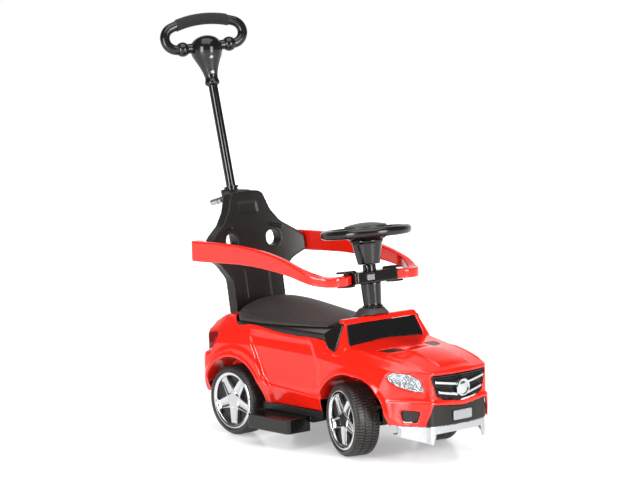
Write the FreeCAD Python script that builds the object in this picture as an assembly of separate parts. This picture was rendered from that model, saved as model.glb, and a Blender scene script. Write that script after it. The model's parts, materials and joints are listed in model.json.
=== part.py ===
import FreeCAD, Part
import math
import os
from FreeCAD import Vector

# Push car with handle. Millimetres; +X is forward, +Y the car's left, +Z up, the ground is Z 0.
# X is counted from the middle of the wheelbase and moved to the frame's origin on export.
AXLE_MID_X = 37.45

# Fits
WALL = 3.0            # wall of the moulded shells
FIT = 0.3             # gap around a piece set in its pocket
RUN = 0.05            # radial clearance of a turning fit
SEAM = 0.3            # gap beside a sliding piece

# Wheels and axles
WHEELBASE = 377.0
TRACK_OUT = 292.0     # over the outer wheel faces
WHEEL_R = 78.0
WHEEL_W = 58.0
TYRE_ROUND = 11.0
COVER_R = 65.0
COVER_RIM = 10.0      # width of the cover's outer ring
CAVITY_R = 58.0       # hollow inner side of the tyre
HUB_R = 16.0
WEB_IN = 5.0          # wheel web, from the wheel's middle plane
WEB_OUT = 10.0
SPOKES = 5
SPOKE_HALF = [(8, 15), (27, 12.5), (61, 8.5)]   # radius and half-width
SPOKE_TURN = -90.0    # one spoke points down
AXLE_R = 5.0
CAP_R = 9.0           # cap nut on an axle end
CAP_T = 4.0

# Steering
STEER_REST = -16.0    # wheels stand turned to the right
COLUMN_X = 129.0      # column axis at the height COLUMN_Z
COLUMN_Z = 299.0
COLUMN_LEAN = 5.6
SHAFT_R = 6.0
KINGPIN_IN = 44.0     # king pin inboard of the outer wheel face
KINGPIN_R = 4.0
BARREL_R = 10.0
BARREL_H = 28.0
ARM_LENGTH = 34.0
ARM_T = 7.0
LINK_PIN_R = 3.5
LINK_PLAY = 0.8       # play of the crank pin in the tie rod
STEERING_R = 89.0     # rim centreline
STEERING_RIM = 10.0
STEERING_RISE = 162.0 # rim plane above the column base
PAD_R = 46.0
PAD_H = 20.0
PAD_CROWN = 170.0
DISH_R = 62.0         # under the rim, a dish of this radius and depth
DISH_DROP = 16.0
PAD_TRAVEL = 3.0

# Body
SILL_Z = 84.0
ARCH_R = 98.0
ARCH_SHIFT = 7.0      # arch centres stand outward of the axles
ARCH_BROW = (30.0, 20.0, 76.0)   # front arch: second round, ahead of and above the first, and its radius
WELL_LOW = 112.0      # wheel wells end here, above the axle gear
REAR_WELL_Y = 84.0
FRONT_WELL_Y = 48.0
OPEN_REAR = -239.0    # cockpit opening, drawn in behind the seat
OPEN_REAR_HALF = 65.0
OPEN_SHOULDER = -191.0
OPEN_FRONT = 127.0
OPEN_HALF = 124.0
OPEN_ROUND = 24.0
DECK_Z = 253.7
DECK_T = 4.0
DECK_SKIRT = 236.0

# Body sections: X, then half-width and height of sill, lower side, shoulder and top edge, then crown height
SECTIONS = [
    (-322, (120, 84), (143, 125), (139, 205), (112, 258), 262),
    (-188, (124, 84), (147, 130), (142, 210), (114, 264), 268),
    (-100, (126, 84), (143, 130), (139, 210), (126, 253), 258),
    (0, (126, 84), (140, 130), (137, 205), (130, 242), 247),
    (100, (126, 84), (142, 128), (138, 202), (130, 241), 246),
    (188, (124, 84), (147, 126), (140, 200), (120, 227), 234),
    (270, (119, 80), (145, 120), (135, 196), (102, 218), 228),
    (340, (110, 76), (135, 114), (121, 187), (90, 206), 215),
    (412, (98, 74), (118, 108), (103, 166), (74, 184), 192),
]
SECTION_ROUND = (2.0, 40.0, 22.0, 12.0, 300.0)
PLAN = [(402, 0), (386, 82), (312, 126), (262, 152), (-250, 152), (-286, 128), (-296, 60)]
PLAN_ROUND = (300.0, 22.0, 50.0, 60.0, 40.0, 40.0, 100.0)
SIDE = [(-296, 20), (392, 20), (400, 96), (402, 150), (393, 199), (380, 330), (-272, 330), (-281, 262),
        (-288, 205), (-296, 150)]
SIDE_ROUND = (0.0, 0.0, 40.0, 40.0, 14.0, 0.0, 0.0, 30.0, 60.0, 40.0)

TAIL_PLAN = [(-200, 152), (-266, 152), (-304, 130), (-315, 60)]   # rear bumper
TAIL_PLAN_ROUND = (0.0, 40.0, 40.0, 100.0)
TAIL_SIDE = [(-315, 20), (-200, 20), (-200, 182), (-288, 182), (-315, 140)]
TAIL_SIDE_ROUND = (0.0, 0.0, 0.0, 24.0, 30.0)

# Push handle
TUBE_LEAN = 13.4
TUBE_X = -343.0       # tube axis at the height TUBE_Z
TUBE_Z = 531.0
TUBE_R = 11.0
TUBE_WALL = 1.5
TUBE_FOOT = 215.0     # tube below TUBE_Z, along its axis
HUB_UP = 246.0        # hub above TUBE_Z, along the tube
HANDLE_TWIST = -23.0
RING_TUBE = 11.5
BUSH_R = 14.0
BUSH_H = 60.0

# Rails
RAIL_T = 13.0
RAIL_OUT = 158.0      # outer rail face from the middle plane
RAIL_PIN_X = -292.0
RAIL_PIN_Y = 143.0
RAIL_PIN_R = 4.0
RAIL_EYE_R = 13.0
LUG_Z0 = 398.0
LUG_Z1 = 414.0

# Footrests
FOOT_REAR = -86.0
FOOT_FRONT = 54.0
FOOT_OUT = 186.0
FOOT_LOW = 36.0
FOOT_TOP = 68.0
FOOT_CUT = 7.0        # outer corners cut off
FLANGE = 8.0
TONGUE_IN = 62.0
PAN_HALF = 126.0
PAN_LOW = 69.0
PAN_T = 4.0

FRONT_X = WHEELBASE / 2
REAR_X = -WHEELBASE / 2
WHEEL_MID_Y = TRACK_OUT / 2 - WHEEL_W / 2
KINGPIN_Y = TRACK_OUT / 2 - KINGPIN_IN
UP = Vector(0, 0, 1)

parts = {}


def place(plane, u, v, w):
    if plane == "xy":
        return Vector(u, v, w)
    if plane == "xz":
        return Vector(u, w, v)
    return Vector(w, u, v)


def inset(points, depth):
    """Corners of a counter-clockwise outline, moved inward by depth."""
    moved = []
    for i, corner in enumerate(points):
        before = Vector(*points[i - 1], 0)
        here = Vector(*corner, 0)
        after = Vector(*points[(i + 1) % len(points)], 0)
        first = (here - before).normalize()
        second = (after - here).normalize()
        n1 = Vector(-first.y, first.x, 0)
        n2 = Vector(-second.y, second.x, 0)
        step = (n1 + n2) * (depth / (1 + n1.dot(n2)))
        moved.append((here.x + step.x, here.y + step.y))
    return moved


def rounded_wire(corners, radii):
    """Closed wire through 3D corners; a corner with a radius becomes an arc."""
    starts, edges = [], []
    count = len(corners)
    for i in range(count):
        here = corners[i]
        radius = radii[i]
        back = (corners[i - 1] - here).normalize()
        ahead = (corners[(i + 1) % count] - here).normalize()
        half = back.getAngle(ahead) / 2
        if radius <= 0:
            starts.append((here, None, here))
            continue
        reach = radius / math.tan(half)
        middle = here + (back + ahead).normalize() * (radius / math.sin(half) - radius)
        starts.append((here + back * reach, middle, here + ahead * reach))
    for i in range(count):
        start, middle, end = starts[i]
        if middle is not None:
            edges.append(Part.Arc(start, middle, end).toShape())
        following = starts[(i + 1) % count][0]
        if end.distanceToPoint(following) > 1e-6:
            edges.append(Part.makeLine(end, following))
    return Part.Wire(edges)


def outline(points, radii, plane, level):
    corners = [place(plane, u, v, level) for u, v in points]
    if isinstance(radii, (int, float)):
        radii = [radii] * len(points)
    return rounded_wire(corners, radii)


def prism(points, radii, plane, low, high):
    face = Part.Face(outline(points, radii, plane, low))
    return face.extrude(place(plane, 0, 0, high - low))


def inset_prism(points, radii, depth, plane, low, high):
    smaller = [max(r - depth, 0.5) if r > 0 else 0 for r in radii]
    return prism(inset(points, depth), smaller, plane, low, high)


def box(x0, x1, y0, y1, z0, z1):
    return Part.makeBox(x1 - x0, y1 - y0, z1 - z0, Vector(x0, y0, z0))


def rod(start, axis, radius, length):
    return Part.makeCylinder(radius, length, start, axis)


def mirrored(shape):
    return shape.mirror(Vector(0, 0, 0), Vector(0, 1, 0))


def both(shape):
    return shape.fuse(mirrored(shape))


def group(shapes):
    return Part.makeCompound(shapes)


def turned(shape, centre, axis, angle):
    copy = shape.copy()
    copy.rotate(centre, axis, angle)
    return copy


def moved(shape, x, y, z):
    return shape.translated(Vector(x, y, z))


def clean(shape):
    """One solid where there is one, else a compound of the solids."""
    shape = shape.removeSplitter()
    solids = shape.Solids
    return solids[0] if len(solids) == 1 else Part.makeCompound(solids)


def spun(points, radii):
    """Turn an outline of (radius, height) corners about the Z axis."""
    face = Part.Face(outline(points, radii, "xz", 0))
    return face.revolve(Vector(0, 0, 0), UP, 360)


def sym(points):
    """Close a half outline of (lengthwise, +half-width) corners by its mirror image."""
    other = [(u, -v) for u, v in reversed(points) if v != 0]
    return points + other


def sym_radii(points, radii):
    other = [r for (u, v), r in zip(reversed(points), list(reversed(radii))) if v != 0]
    return list(radii) + other


# Wheels


def wheel_pieces():
    """Tyre and cover about the Z axis, outer side up, middle plane at Z 0."""
    half = WHEEL_W / 2
    bore = AXLE_R + RUN
    seat = COVER_R + FIT / 2
    tyre = spun(
        [(bore, -3), (HUB_R, -3), (HUB_R, WEB_IN), (CAVITY_R, WEB_IN), (CAVITY_R, 4 - half),
         (CAVITY_R + 4, -half), (WHEEL_R, -half), (WHEEL_R, half), (seat + 2, half), (seat, half - 2),
         (seat, WEB_OUT), (bore, WEB_OUT)],
        [0, 0, 2, 2, 0, 0, TYRE_ROUND, TYRE_ROUND, 0, 0, 0, 0])
    inner = COVER_R - COVER_RIM
    cover = spun(
        [(inner, WEB_OUT), (COVER_R, WEB_OUT), (COVER_R, half - 3), (COVER_R - 3, half - 1),
         (inner + 1, half - 3), (inner, half - 7)], [0, 0, 1, 1.5, 1.5, 0])
    boss = rod(Vector(0, 0, WEB_OUT), UP, HUB_R, 12)
    spoke_top = half - 7
    plan = sym(SPOKE_HALF)
    for i in range(SPOKES):
        spoke = prism(plan, 0, "xy", WEB_OUT + 3, spoke_top)
        spoke = spoke.cut(rod(Vector(HUB_R, 0, spoke_top + 26), Vector(1, 0, 0), 28, COVER_R))
        boss = boss.fuse(turned(spoke, Vector(0, 0, 0), UP, SPOKE_TURN + i * 360 / SPOKES))
    boss = boss.common(rod(Vector(0, 0, WEB_OUT), UP, inner + 2, WHEEL_W))
    cover = cover.fuse(boss)
    cover = cover.cut(rod(Vector(0, 0, WEB_OUT), UP, CAP_R + 2, CAP_T + 3))
    return tyre, clean(cover)


def set_wheel(shape, x, side):
    """Put a wheel piece on its axle; side is +1 on the left and -1 on the right."""
    shape = turned(shape, Vector(0, 0, 0), Vector(1, 0, 0), -90 * side)
    return moved(shape, x, side * WHEEL_MID_Y, WHEEL_R)


def steered(shape, side):
    return turned(shape, Vector(FRONT_X, side * KINGPIN_Y, 0), UP, STEER_REST)


def cap_nut(x, side):
    low = WEB_OUT + FIT
    nut = rod(Vector(0, 0, low), UP, CAP_R, CAP_T)
    nut = nut.cut(rod(Vector(0, 0, low), UP, AXLE_R, CAP_T - 1))
    return set_wheel(nut, x, side)


def build_wheels():
    tyre, cover = wheel_pieces()
    for name, side in (("left", 1), ("right", -1)):
        parts["tyre_rear_" + name] = set_wheel(tyre, REAR_X, side)
        parts["wheel_cover_rear_" + name] = set_wheel(cover, REAR_X, side)
        parts["tyre_front_" + name] = steered(set_wheel(tyre, FRONT_X, side), side)
        parts["wheel_cover_front_" + name] = steered(set_wheel(cover, FRONT_X, side), side)
    axle_end = WHEEL_MID_Y + WEB_OUT + FIT + CAP_T - 1
    parts["rear_axle"] = rod(Vector(REAR_X, -axle_end, WHEEL_R), Vector(0, 1, 0), AXLE_R, 2 * axle_end)
    parts["cap_nuts_rear"] = group([cap_nut(REAR_X, 1), cap_nut(REAR_X, -1)])


# Steering gear


def column_axis():
    lean = math.radians(COLUMN_LEAN)
    return Vector(-math.sin(lean), 0, math.cos(lean))


def column_point(rise):
    return Vector(COLUMN_X, 0, COLUMN_Z) + column_axis() * rise


def on_column(shape, rise):
    """Lean a shape built about the Z axis and set its Z 0 at a rise along the column."""
    shape = turned(shape, Vector(0, 0, 0), Vector(0, 1, 0), -COLUMN_LEAN)
    base = column_point(rise)
    return moved(shape, base.x, base.y, base.z)


def turned_with_wheel(shape):
    return turned(shape, Vector(COLUMN_X, 0, COLUMN_Z), column_axis(), STEER_REST)


def capsule(x0, x1, radius, z0, z1):
    """Flat bar from x0 to x1 with round ends, along X."""
    middle = box(x0, x1, -radius, radius, z0, z1)
    bar = middle.fuse(rod(Vector(x0, 0, z0), UP, radius, z1 - z0))
    return bar.fuse(rod(Vector(x1, 0, z0), UP, radius, z1 - z0))


ARM_LOW = WHEEL_R - BARREL_H / 2 + 2
ROD_HIGH = ARM_LOW - 1
ROD_LOW = ROD_HIGH - ARM_T
BEAM_LOW = WHEEL_R - BARREL_H / 2 - SEAM - 8
BEAM_HIGH = WHEEL_R + BARREL_H / 2 + SEAM + 8
CRANK_RISE = -221.0   # crank plate below the column base, along the axis


def build_knuckle(name, side):
    low = WHEEL_R - BARREL_H / 2
    knuckle = rod(Vector(0, 0, low), UP, BARREL_R, BARREL_H)
    boss_end = WHEEL_MID_Y - 4.5 - KINGPIN_Y
    knuckle = knuckle.fuse(rod(Vector(0, 0, WHEEL_R), Vector(0, side, 0), BARREL_R - 1, boss_end))
    knuckle = knuckle.fuse(capsule(-ARM_LENGTH, 0, LINK_PIN_R + 4.5, ARM_LOW, ARM_LOW + ARM_T))
    knuckle = knuckle.fuse(rod(Vector(-ARM_LENGTH, 0, ROD_LOW), UP, LINK_PIN_R, ARM_LOW - ROD_LOW + 1))
    knuckle = knuckle.cut(rod(Vector(0, 0, 0), UP, KINGPIN_R + RUN, 200))
    axle_start = KINGPIN_R + 2
    axle_end = WHEEL_MID_Y - KINGPIN_Y + WEB_OUT + FIT + CAP_T - 1
    axle = rod(Vector(0, side * axle_start, WHEEL_R), Vector(0, side, 0), AXLE_R, axle_end - axle_start)
    knuckle = clean(knuckle.cut(axle))
    head_at = axle_end - CAP_T + 1
    axle = clean(axle.fuse(rod(Vector(0, side * head_at, WHEEL_R), Vector(0, side, 0), CAP_R, CAP_T)))
    for node, shape in (("knuckle_" + name, knuckle), ("stub_axle_" + name, axle)):
        parts[node] = steered(moved(shape, FRONT_X, side * KINGPIN_Y, 0), side)


def crank_pin_x(height):
    """X of the crank pin's axis at a height, with the wheels straight."""
    lean = math.radians(COLUMN_LEAN)
    rise = (height - COLUMN_Z + ARM_LENGTH * math.sin(lean)) / math.cos(lean)
    return COLUMN_X - ARM_LENGTH * math.cos(lean) - rise * math.sin(lean)


def build_tie_rod():
    reach = Vector(-ARM_LENGTH, 0, 0)
    pin_x = crank_pin_x((ROD_LOW + ROD_HIGH) / 2)
    rod_x = FRONT_X - ARM_LENGTH
    eye = LINK_PIN_R + 5
    bar = box(rod_x - 6, rod_x + 6, -KINGPIN_Y, KINGPIN_Y, ROD_LOW, ROD_HIGH)
    tongue = moved(capsule(pin_x - rod_x, 0, eye, ROD_LOW, ROD_HIGH), rod_x, 0, 0)
    bar = bar.fuse(tongue)
    for side in (1, -1):
        bar = bar.fuse(rod(Vector(rod_x, side * KINGPIN_Y, ROD_LOW), UP, eye, ROD_HIGH - ROD_LOW))
        bar = bar.cut(rod(Vector(rod_x, side * KINGPIN_Y, 0), UP, LINK_PIN_R + RUN, 200))
    bar = bar.cut(rod(Vector(pin_x, 0, 0), UP, LINK_PIN_R + LINK_PLAY, 200))
    turn = math.radians(STEER_REST)
    shift = Vector(reach.x * math.cos(turn) - reach.x, reach.x * math.sin(turn), 0)
    parts["tie_rod"] = clean(bar.translated(shift))


def build_steering():
    shaft_top = STEERING_RISE + 4
    shaft = rod(Vector(0, 0, CRANK_RISE - ARM_T), UP, SHAFT_R, shaft_top - CRANK_RISE + ARM_T)
    crank = capsule(-ARM_LENGTH, 0, SHAFT_R + 3, CRANK_RISE - ARM_T, CRANK_RISE)
    pin_drop = column_point(CRANK_RISE - ARM_T).z - ROD_LOW - ARM_LENGTH * math.sin(math.radians(COLUMN_LEAN))
    pin = rod(Vector(-ARM_LENGTH, 0, CRANK_RISE - ARM_T - pin_drop), UP, LINK_PIN_R, pin_drop + 1)
    shaft = clean(shaft.fuse(crank).fuse(pin))
    parts["steering_shaft"] = turned_with_wheel(on_column(shaft, 0))

    cup_low = SLEEVE_TOP + 1
    cup_high = STEERING_RISE - DISH_DROP - 6
    cup = Part.makeCone(24, 33, cup_high - cup_low, Vector(0, 0, cup_low))
    lip = rod(Vector(0, 0, cup_high), UP, 36, 6)
    cup = cup.fuse(lip).cut(rod(Vector(0, 0, 0), UP, SHAFT_R, 300))
    hollow = Part.makeCone(20, 29, cup_high - cup_low - 6, Vector(0, 0, cup_low + 3))
    core = rod(Vector(0, 0, 0), UP, SHAFT_R + 3, 300)
    cup = clean(cup.cut(hollow.cut(core)))
    parts["sound_box"] = turned_with_wheel(on_column(cup, 0))

    rim = Part.makeTorus(STEERING_R, STEERING_RIM, Vector(0, 0, STEERING_RISE))
    hub_low = cup_high + 6
    dish = Part.makeCone(38, DISH_R, DISH_DROP, Vector(0, 0, hub_low))
    dish = dish.fuse(rod(Vector(0, 0, STEERING_RISE), UP, DISH_R, 4))
    for angle in (90, 210, 330):
        spoke = box(30, STEERING_R - 2, -15, 15, STEERING_RISE - 5, STEERING_RISE + 4)
        dish = dish.fuse(turned(spoke, Vector(0, 0, 0), UP, angle + 90))
    wheel = rim.fuse(dish)
    well_floor = STEERING_RISE - 3
    wheel = wheel.cut(rod(Vector(0, 0, well_floor), UP, PAD_R + FIT, 60))
    wheel = clean(wheel.cut(rod(Vector(0, 0, 0), UP, SHAFT_R, STEERING_RISE + 10)))
    parts["steering_wheel"] = turned_with_wheel(on_column(wheel, 0))

    pad_low = well_floor + PAD_TRAVEL + 1
    pad = rod(Vector(0, 0, pad_low), UP, PAD_R, PAD_H)
    dome = Part.makeSphere(PAD_CROWN, Vector(0, 0, pad_low + PAD_H - PAD_CROWN))
    pad = pad.common(dome)
    pad = pad.cut(rod(Vector(0, 0, pad_low), UP, PAD_R - 3, PAD_H - 9))
    pad = pad.cut(rod(Vector(0, 0, 0), UP, SHAFT_R + 1, shaft_top + 1 + PAD_TRAVEL))
    parts["horn_pad"] = turned_with_wheel(on_column(clean(pad), 0))


# Column, rail bracket and release button
HOUSING_LOW_R = 19.0
HOUSING_HIGH_R = 22.5
SLEEVE_TOP = 92.0
SLEEVE_R = 14.5
BRACKET_LOW = 53.5
BRACKET_HIGH = 78.5
BRACKET_HALF = 62.0
BRACKET_FRONT = 26.0
BRACKET_REAR = -20.0
JAW_T = 5.0
JAW_OUT = 84.0
BUTTON_W = 20.0
BUTTON_H = 13.0
BUTTON_T = 6.0
BUTTON_Y = -22.0


def build_column():
    housing = Part.makeCone(HOUSING_LOW_R, HOUSING_HIGH_R, BRACKET_LOW, Vector(0, 0, 0))
    housing = housing.fuse(rod(Vector(0, 0, 0), UP, HOUSING_LOW_R + 4, 3))
    housing = housing.fuse(rod(Vector(0, 0, BRACKET_LOW - 1), UP, SLEEVE_R, SLEEVE_TOP - BRACKET_LOW + 1))
    housing = housing.cut(rod(Vector(0, 0, -10), UP, SHAFT_R + RUN, 300))
    parts["column_housing"] = on_column(clean(housing), 0)

    middle = (BRACKET_LOW + BRACKET_HIGH) / 2
    tall = BRACKET_HIGH - BRACKET_LOW
    plan = [(BRACKET_REAR, -BRACKET_HALF), (BRACKET_FRONT, -BRACKET_HALF),
            (BRACKET_FRONT, BRACKET_HALF), (BRACKET_REAR, BRACKET_HALF)]
    bracket = prism(plan, 8, "xy", BRACKET_LOW, BRACKET_HIGH)
    jaw = box(-15, 15, BRACKET_HALF - 10, JAW_OUT, 0, JAW_T)
    for level in (BRACKET_LOW - JAW_T, BRACKET_HIGH):
        bracket = bracket.fuse(both(moved(jaw, 0, 0, level)))
    bracket = bracket.cut(rod(Vector(0, 0, 0), UP, SLEEVE_R, 200))
    slot = box(BRACKET_FRONT - BUTTON_T - 4, BRACKET_FRONT + 1, BUTTON_Y - BUTTON_W / 2,
               BUTTON_Y + BUTTON_W / 2, middle - BUTTON_H / 2, middle + BUTTON_H / 2)
    bracket = bracket.cut(slot)
    hollow = box(BRACKET_REAR + 3, BRACKET_FRONT - 3, SLEEVE_R + 4, BRACKET_HALF - 4, BRACKET_LOW - JAW_T - 1,
                 BRACKET_HIGH - 3)
    bracket = bracket.cut(both(hollow))
    parts["rail_bracket"] = on_column(clean(bracket), 0)
    button = box(BRACKET_FRONT - BUTTON_T, BRACKET_FRONT + 3, BUTTON_Y - BUTTON_W / 2 + SEAM,
                 BUTTON_Y + BUTTON_W / 2 - SEAM, middle - BUTTON_H / 2 + SEAM, middle + BUTTON_H / 2 - SEAM)
    parts["release_button"] = on_column(button, 0)


# Rails
RAIL_SIDE_TOP = [(-318, 429), (-161, 430), (-63, 423), (29, 405),
                 (80, 388), (115, 376), (150, 374.5), (240, 374.5)]
RAIL_SIDE_LOW = [(240, 354.5), (150, 354.5), (115, 356), (80, 364),
                 (-14, 380), (-115, 387), (-226, 385), (-318, 384)]


def curve(points, plane, level):
    spline = Part.BSplineCurve()
    spline.interpolate([place(plane, u, v, level) for u, v in points])
    return spline.toShape()


def rail_band():
    """Side view of a rail as a prism across the car."""
    top = curve(RAIL_SIDE_TOP, "xz", 0)
    low = curve(RAIL_SIDE_LOW, "xz", 0)
    front = Part.makeLine(place("xz", *RAIL_SIDE_TOP[-1], 0), place("xz", *RAIL_SIDE_LOW[0], 0))
    rear = Part.makeLine(place("xz", *RAIL_SIDE_LOW[-1], 0), place("xz", *RAIL_SIDE_TOP[0], 0))
    face = Part.Face(Part.Wire([top, front, low, rear]))
    return face.extrude(Vector(0, 200, 0))


def build_rail(name, side):
    out = RAIL_OUT
    inn = RAIL_OUT - RAIL_T
    tip_x = column_point((BRACKET_LOW + BRACKET_HIGH) / 2).x
    tip_y = BRACKET_HALF + 2
    outer = [(RAIL_PIN_X, out), (90, out), (tip_x + 42, 118), (tip_x + 12, tip_y)]
    inner = [(tip_x - 10, tip_y), (tip_x + 18, 106), (70, inn), (RAIL_PIN_X, inn)]
    radii = [0, 90, 40, 4, 4, 30, 80, 0]
    plan = list(reversed(outer + inner))
    band = prism(plan, list(reversed(radii)), "xy", 300, 480)
    eye = rod(Vector(RAIL_PIN_X, RAIL_PIN_Y, 300), UP, RAIL_EYE_R, 180)
    corner = box(RAIL_PIN_X - RAIL_EYE_R, RAIL_PIN_X, RAIL_PIN_Y, out, 300, 480)
    corner = corner.common(rod(Vector(RAIL_PIN_X, RAIL_PIN_Y, 300), UP, out - RAIL_PIN_Y, 180))
    rail = band.fuse(eye).fuse(corner).common(rail_band())
    gap_low = Vector(RAIL_PIN_X, RAIL_PIN_Y, LUG_Z0 - SEAM)
    gap_high = LUG_Z1 - LUG_Z0 + 2 * SEAM
    inside = box(-400, 0, 0, RAIL_PIN_Y + RAIL_EYE_R / 2, 300, 480)
    gap = rod(gap_low, UP, RAIL_EYE_R + 4, gap_high).common(inside)
    gap = gap.fuse(rod(gap_low, UP, RAIL_EYE_R - 1, gap_high))
    rail = rail.cut(gap)
    rail = clean(rail.cut(rod(Vector(RAIL_PIN_X, RAIL_PIN_Y, 300), UP, RAIL_PIN_R + RUN, 200)))
    parts["guard_rail_" + name] = rail if side > 0 else mirrored(rail)


def rail_pins():
    pin = rod(Vector(RAIL_PIN_X, RAIL_PIN_Y, 386), UP, RAIL_PIN_R, 41)
    return group([pin, mirrored(pin)])


# Body


def section_wire(x, sill, low, shoulder, top, crown, depth, drop):
    half = [sill, low, shoulder, top]
    radii = list(SECTION_ROUND[:4])
    if drop:
        half = [(sill[0], sill[1] - drop)] + half
        radii = [0] + radii
    points = half + [(0, crown)] + [(-y, z) for y, z in reversed(half)]
    all_radii = radii + [SECTION_ROUND[4]] + list(reversed(radii))
    points = inset(points, depth)
    all_radii = [max(r - depth, 1.0) if r > 0 else 0 for r in all_radii]
    return outline(points, all_radii, "yz", x)


solids_made = {}


def body_solid(depth, drop=0):
    """Full body block, moved inward by depth; drop lengthens the sides downward."""
    if (depth, drop) not in solids_made:
        wires = [section_wire(*row, depth, drop) for row in SECTIONS]
        hull = Part.makeLoft(wires, True, False)
        plan = sym(PLAN)
        plan_radii = sym_radii(PLAN, PLAN_ROUND)
        tail_plan = inset_prism(sym(TAIL_PLAN), sym_radii(TAIL_PLAN, TAIL_PLAN_ROUND), depth, "xy", 0, 400)
        tail = hull.common(tail_plan).common(inset_prism(TAIL_SIDE, TAIL_SIDE_ROUND, depth, "xz", -200, 200))
        hull = hull.common(inset_prism(plan, plan_radii, depth, "xy", 0, 400))
        hull = hull.common(inset_prism(SIDE, SIDE_ROUND, depth, "xz", -200, 200))
        solids_made[(depth, drop)] = hull.fuse(tail)
    return solids_made[(depth, drop)]


COWL_TOP_Z = 284.0
COWL_LOW_Z = 213.0
COWL_ROUND = 5.0
COWL_TOP = (137.0, 151.0, 107.0, 105.0)   # rear X, front X, rear half-width, front half-width
COWL_LOW = (146.0, 179.0, 139.0, 133.0)


def cowl_wire(size, z, depth, open_rear):
    rear, front, rear_half, front_half = size
    rear = rear - 30 if open_rear else rear
    points = [(rear, -rear_half + depth), (front - depth, -front_half + depth),
              (front - depth, front_half - depth), (rear, rear_half - depth)]
    return Part.makePolygon([Vector(x, y, z) for x, y in points] + [Vector(points[0][0], points[0][1], z)])


def cowl_solid(depth, open_rear=False):
    low = cowl_wire(COWL_LOW, COWL_LOW_Z - depth, depth, open_rear)
    top = cowl_wire(COWL_TOP, COWL_TOP_Z - depth, depth, open_rear)
    block = Part.makeLoft([low, top], True, True)
    if open_rear:
        return block
    upper = [edge for edge in block.Edges
             if edge.BoundBox.ZMax > COWL_TOP_Z - 1 and edge.BoundBox.XMax > COWL_TOP[0] + 1]
    return block.makeFillet(COWL_ROUND, upper)


def wheel_wells(outer, axle_x, well_y):
    """Inner wheel arches of the shell: a vault and its inner wall on each side."""
    vault = rod(Vector(axle_x, well_y, WHEEL_R), Vector(0, 1, 0), ARCH_R + WALL, 200)
    space = rod(Vector(axle_x, well_y + WALL, WHEEL_R), Vector(0, 1, 0), ARCH_R, 200)
    if axle_x > 0:
        ahead, above, radius = ARCH_BROW
        middle = Vector(axle_x + ahead, well_y, WHEEL_R + above)
        vault = vault.fuse(rod(middle, Vector(0, 1, 0), radius + WALL, 200))
        space = space.fuse(rod(middle + Vector(0, WALL, 0), Vector(0, 1, 0), radius, 200))
    lower = box(-500, 500, -10, 300, 0, WELL_LOW)
    vault = vault.cut(space).cut(lower)
    return both(vault).common(outer), both(space)


def corner_prism(points, radii, near, far):
    """Prism through the right front corner; points are along the corner edge and up."""
    ahead = Vector(PLAN[1][0], -PLAN[1][1], 0)
    behind = Vector(PLAN[2][0], -PLAN[2][1], 0)
    middle = (ahead + behind) * 0.5
    along = (behind - ahead).normalize()
    out = Vector(-along.y, along.x, 0)
    corners = [middle + along * s + UP * z + out * near for s, z in points]
    face = Part.Face(rounded_wire(corners, [radii] * len(corners)))
    return face.extrude(out * (far - near))


HEADLIGHT = [(-32, 152), (-4, 154), (25, 162), (46, 174), (50, 185), (34, 191), (0, 188), (-20, 178)]
CORNER_INTAKE = [(-21, 112), (-14, 90), (15, 89), (20, 113)]
GRILLE = [(-66, 143), (-50, 134), (0, 128.5), (50, 134), (66, 143), (79, 185), (-79, 185)]
LOWER_INTAKE = [(-88, 80), (88, 80), (74, 124.5), (0, 117.5), (-74, 124.5)]
WINDSCREEN = [(-110, 229), (110, 229), (99, 273), (-99, 273)]
VENT = [(238, 44), (272, 40), (257, 74), (228, 86)]
TAIL_LAMP = [(-310, 183), (-264, 183), (-244, 202), (-240, 224), (-258, 226), (-310, 216)]
TRIM_T = 7.0
SIDE_TRIM = [(128, 226), (155, 217), (154, 278), (140, 276), (102, 252), (109, 244)]


def pocket_and_piece(points, radius, plane, low, high, skin):
    """A pocket cutter and the piece of skin that fills it with a fit gap."""
    cutter = prism(points, radius, plane, low, high)
    filler = prism(inset(points, FIT), max(radius - FIT, 0.5), plane, low, high)
    return cutter, filler.common(skin)


def trim_prism(depth):
    """Side trim between cockpit edge and windscreen pillar, left side, moved inward by depth."""
    side = prism(inset(SIDE_TRIM, depth), 6 - depth, "xz", 90, 150)
    foot, head = (COWL_LOW[2], COWL_LOW_Z), (COWL_TOP[2], COWL_TOP_Z)
    slope = prism([foot, head, (head[0] - TRIM_T, head[1]), (foot[0] - TRIM_T, foot[1])], 0, "yz", 60, 200)
    return side.common(slope)


def opening_plan():
    """Outline of the cockpit opening from above, and its corner radii."""
    points = [(OPEN_REAR, -OPEN_REAR_HALF), (OPEN_SHOULDER, -OPEN_HALF), (OPEN_FRONT, -OPEN_HALF),
              (OPEN_FRONT, OPEN_HALF), (OPEN_SHOULDER, OPEN_HALF), (OPEN_REAR, OPEN_REAR_HALF)]
    return points, [60, 50, OPEN_ROUND, OPEN_ROUND, 50, 60]


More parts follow.
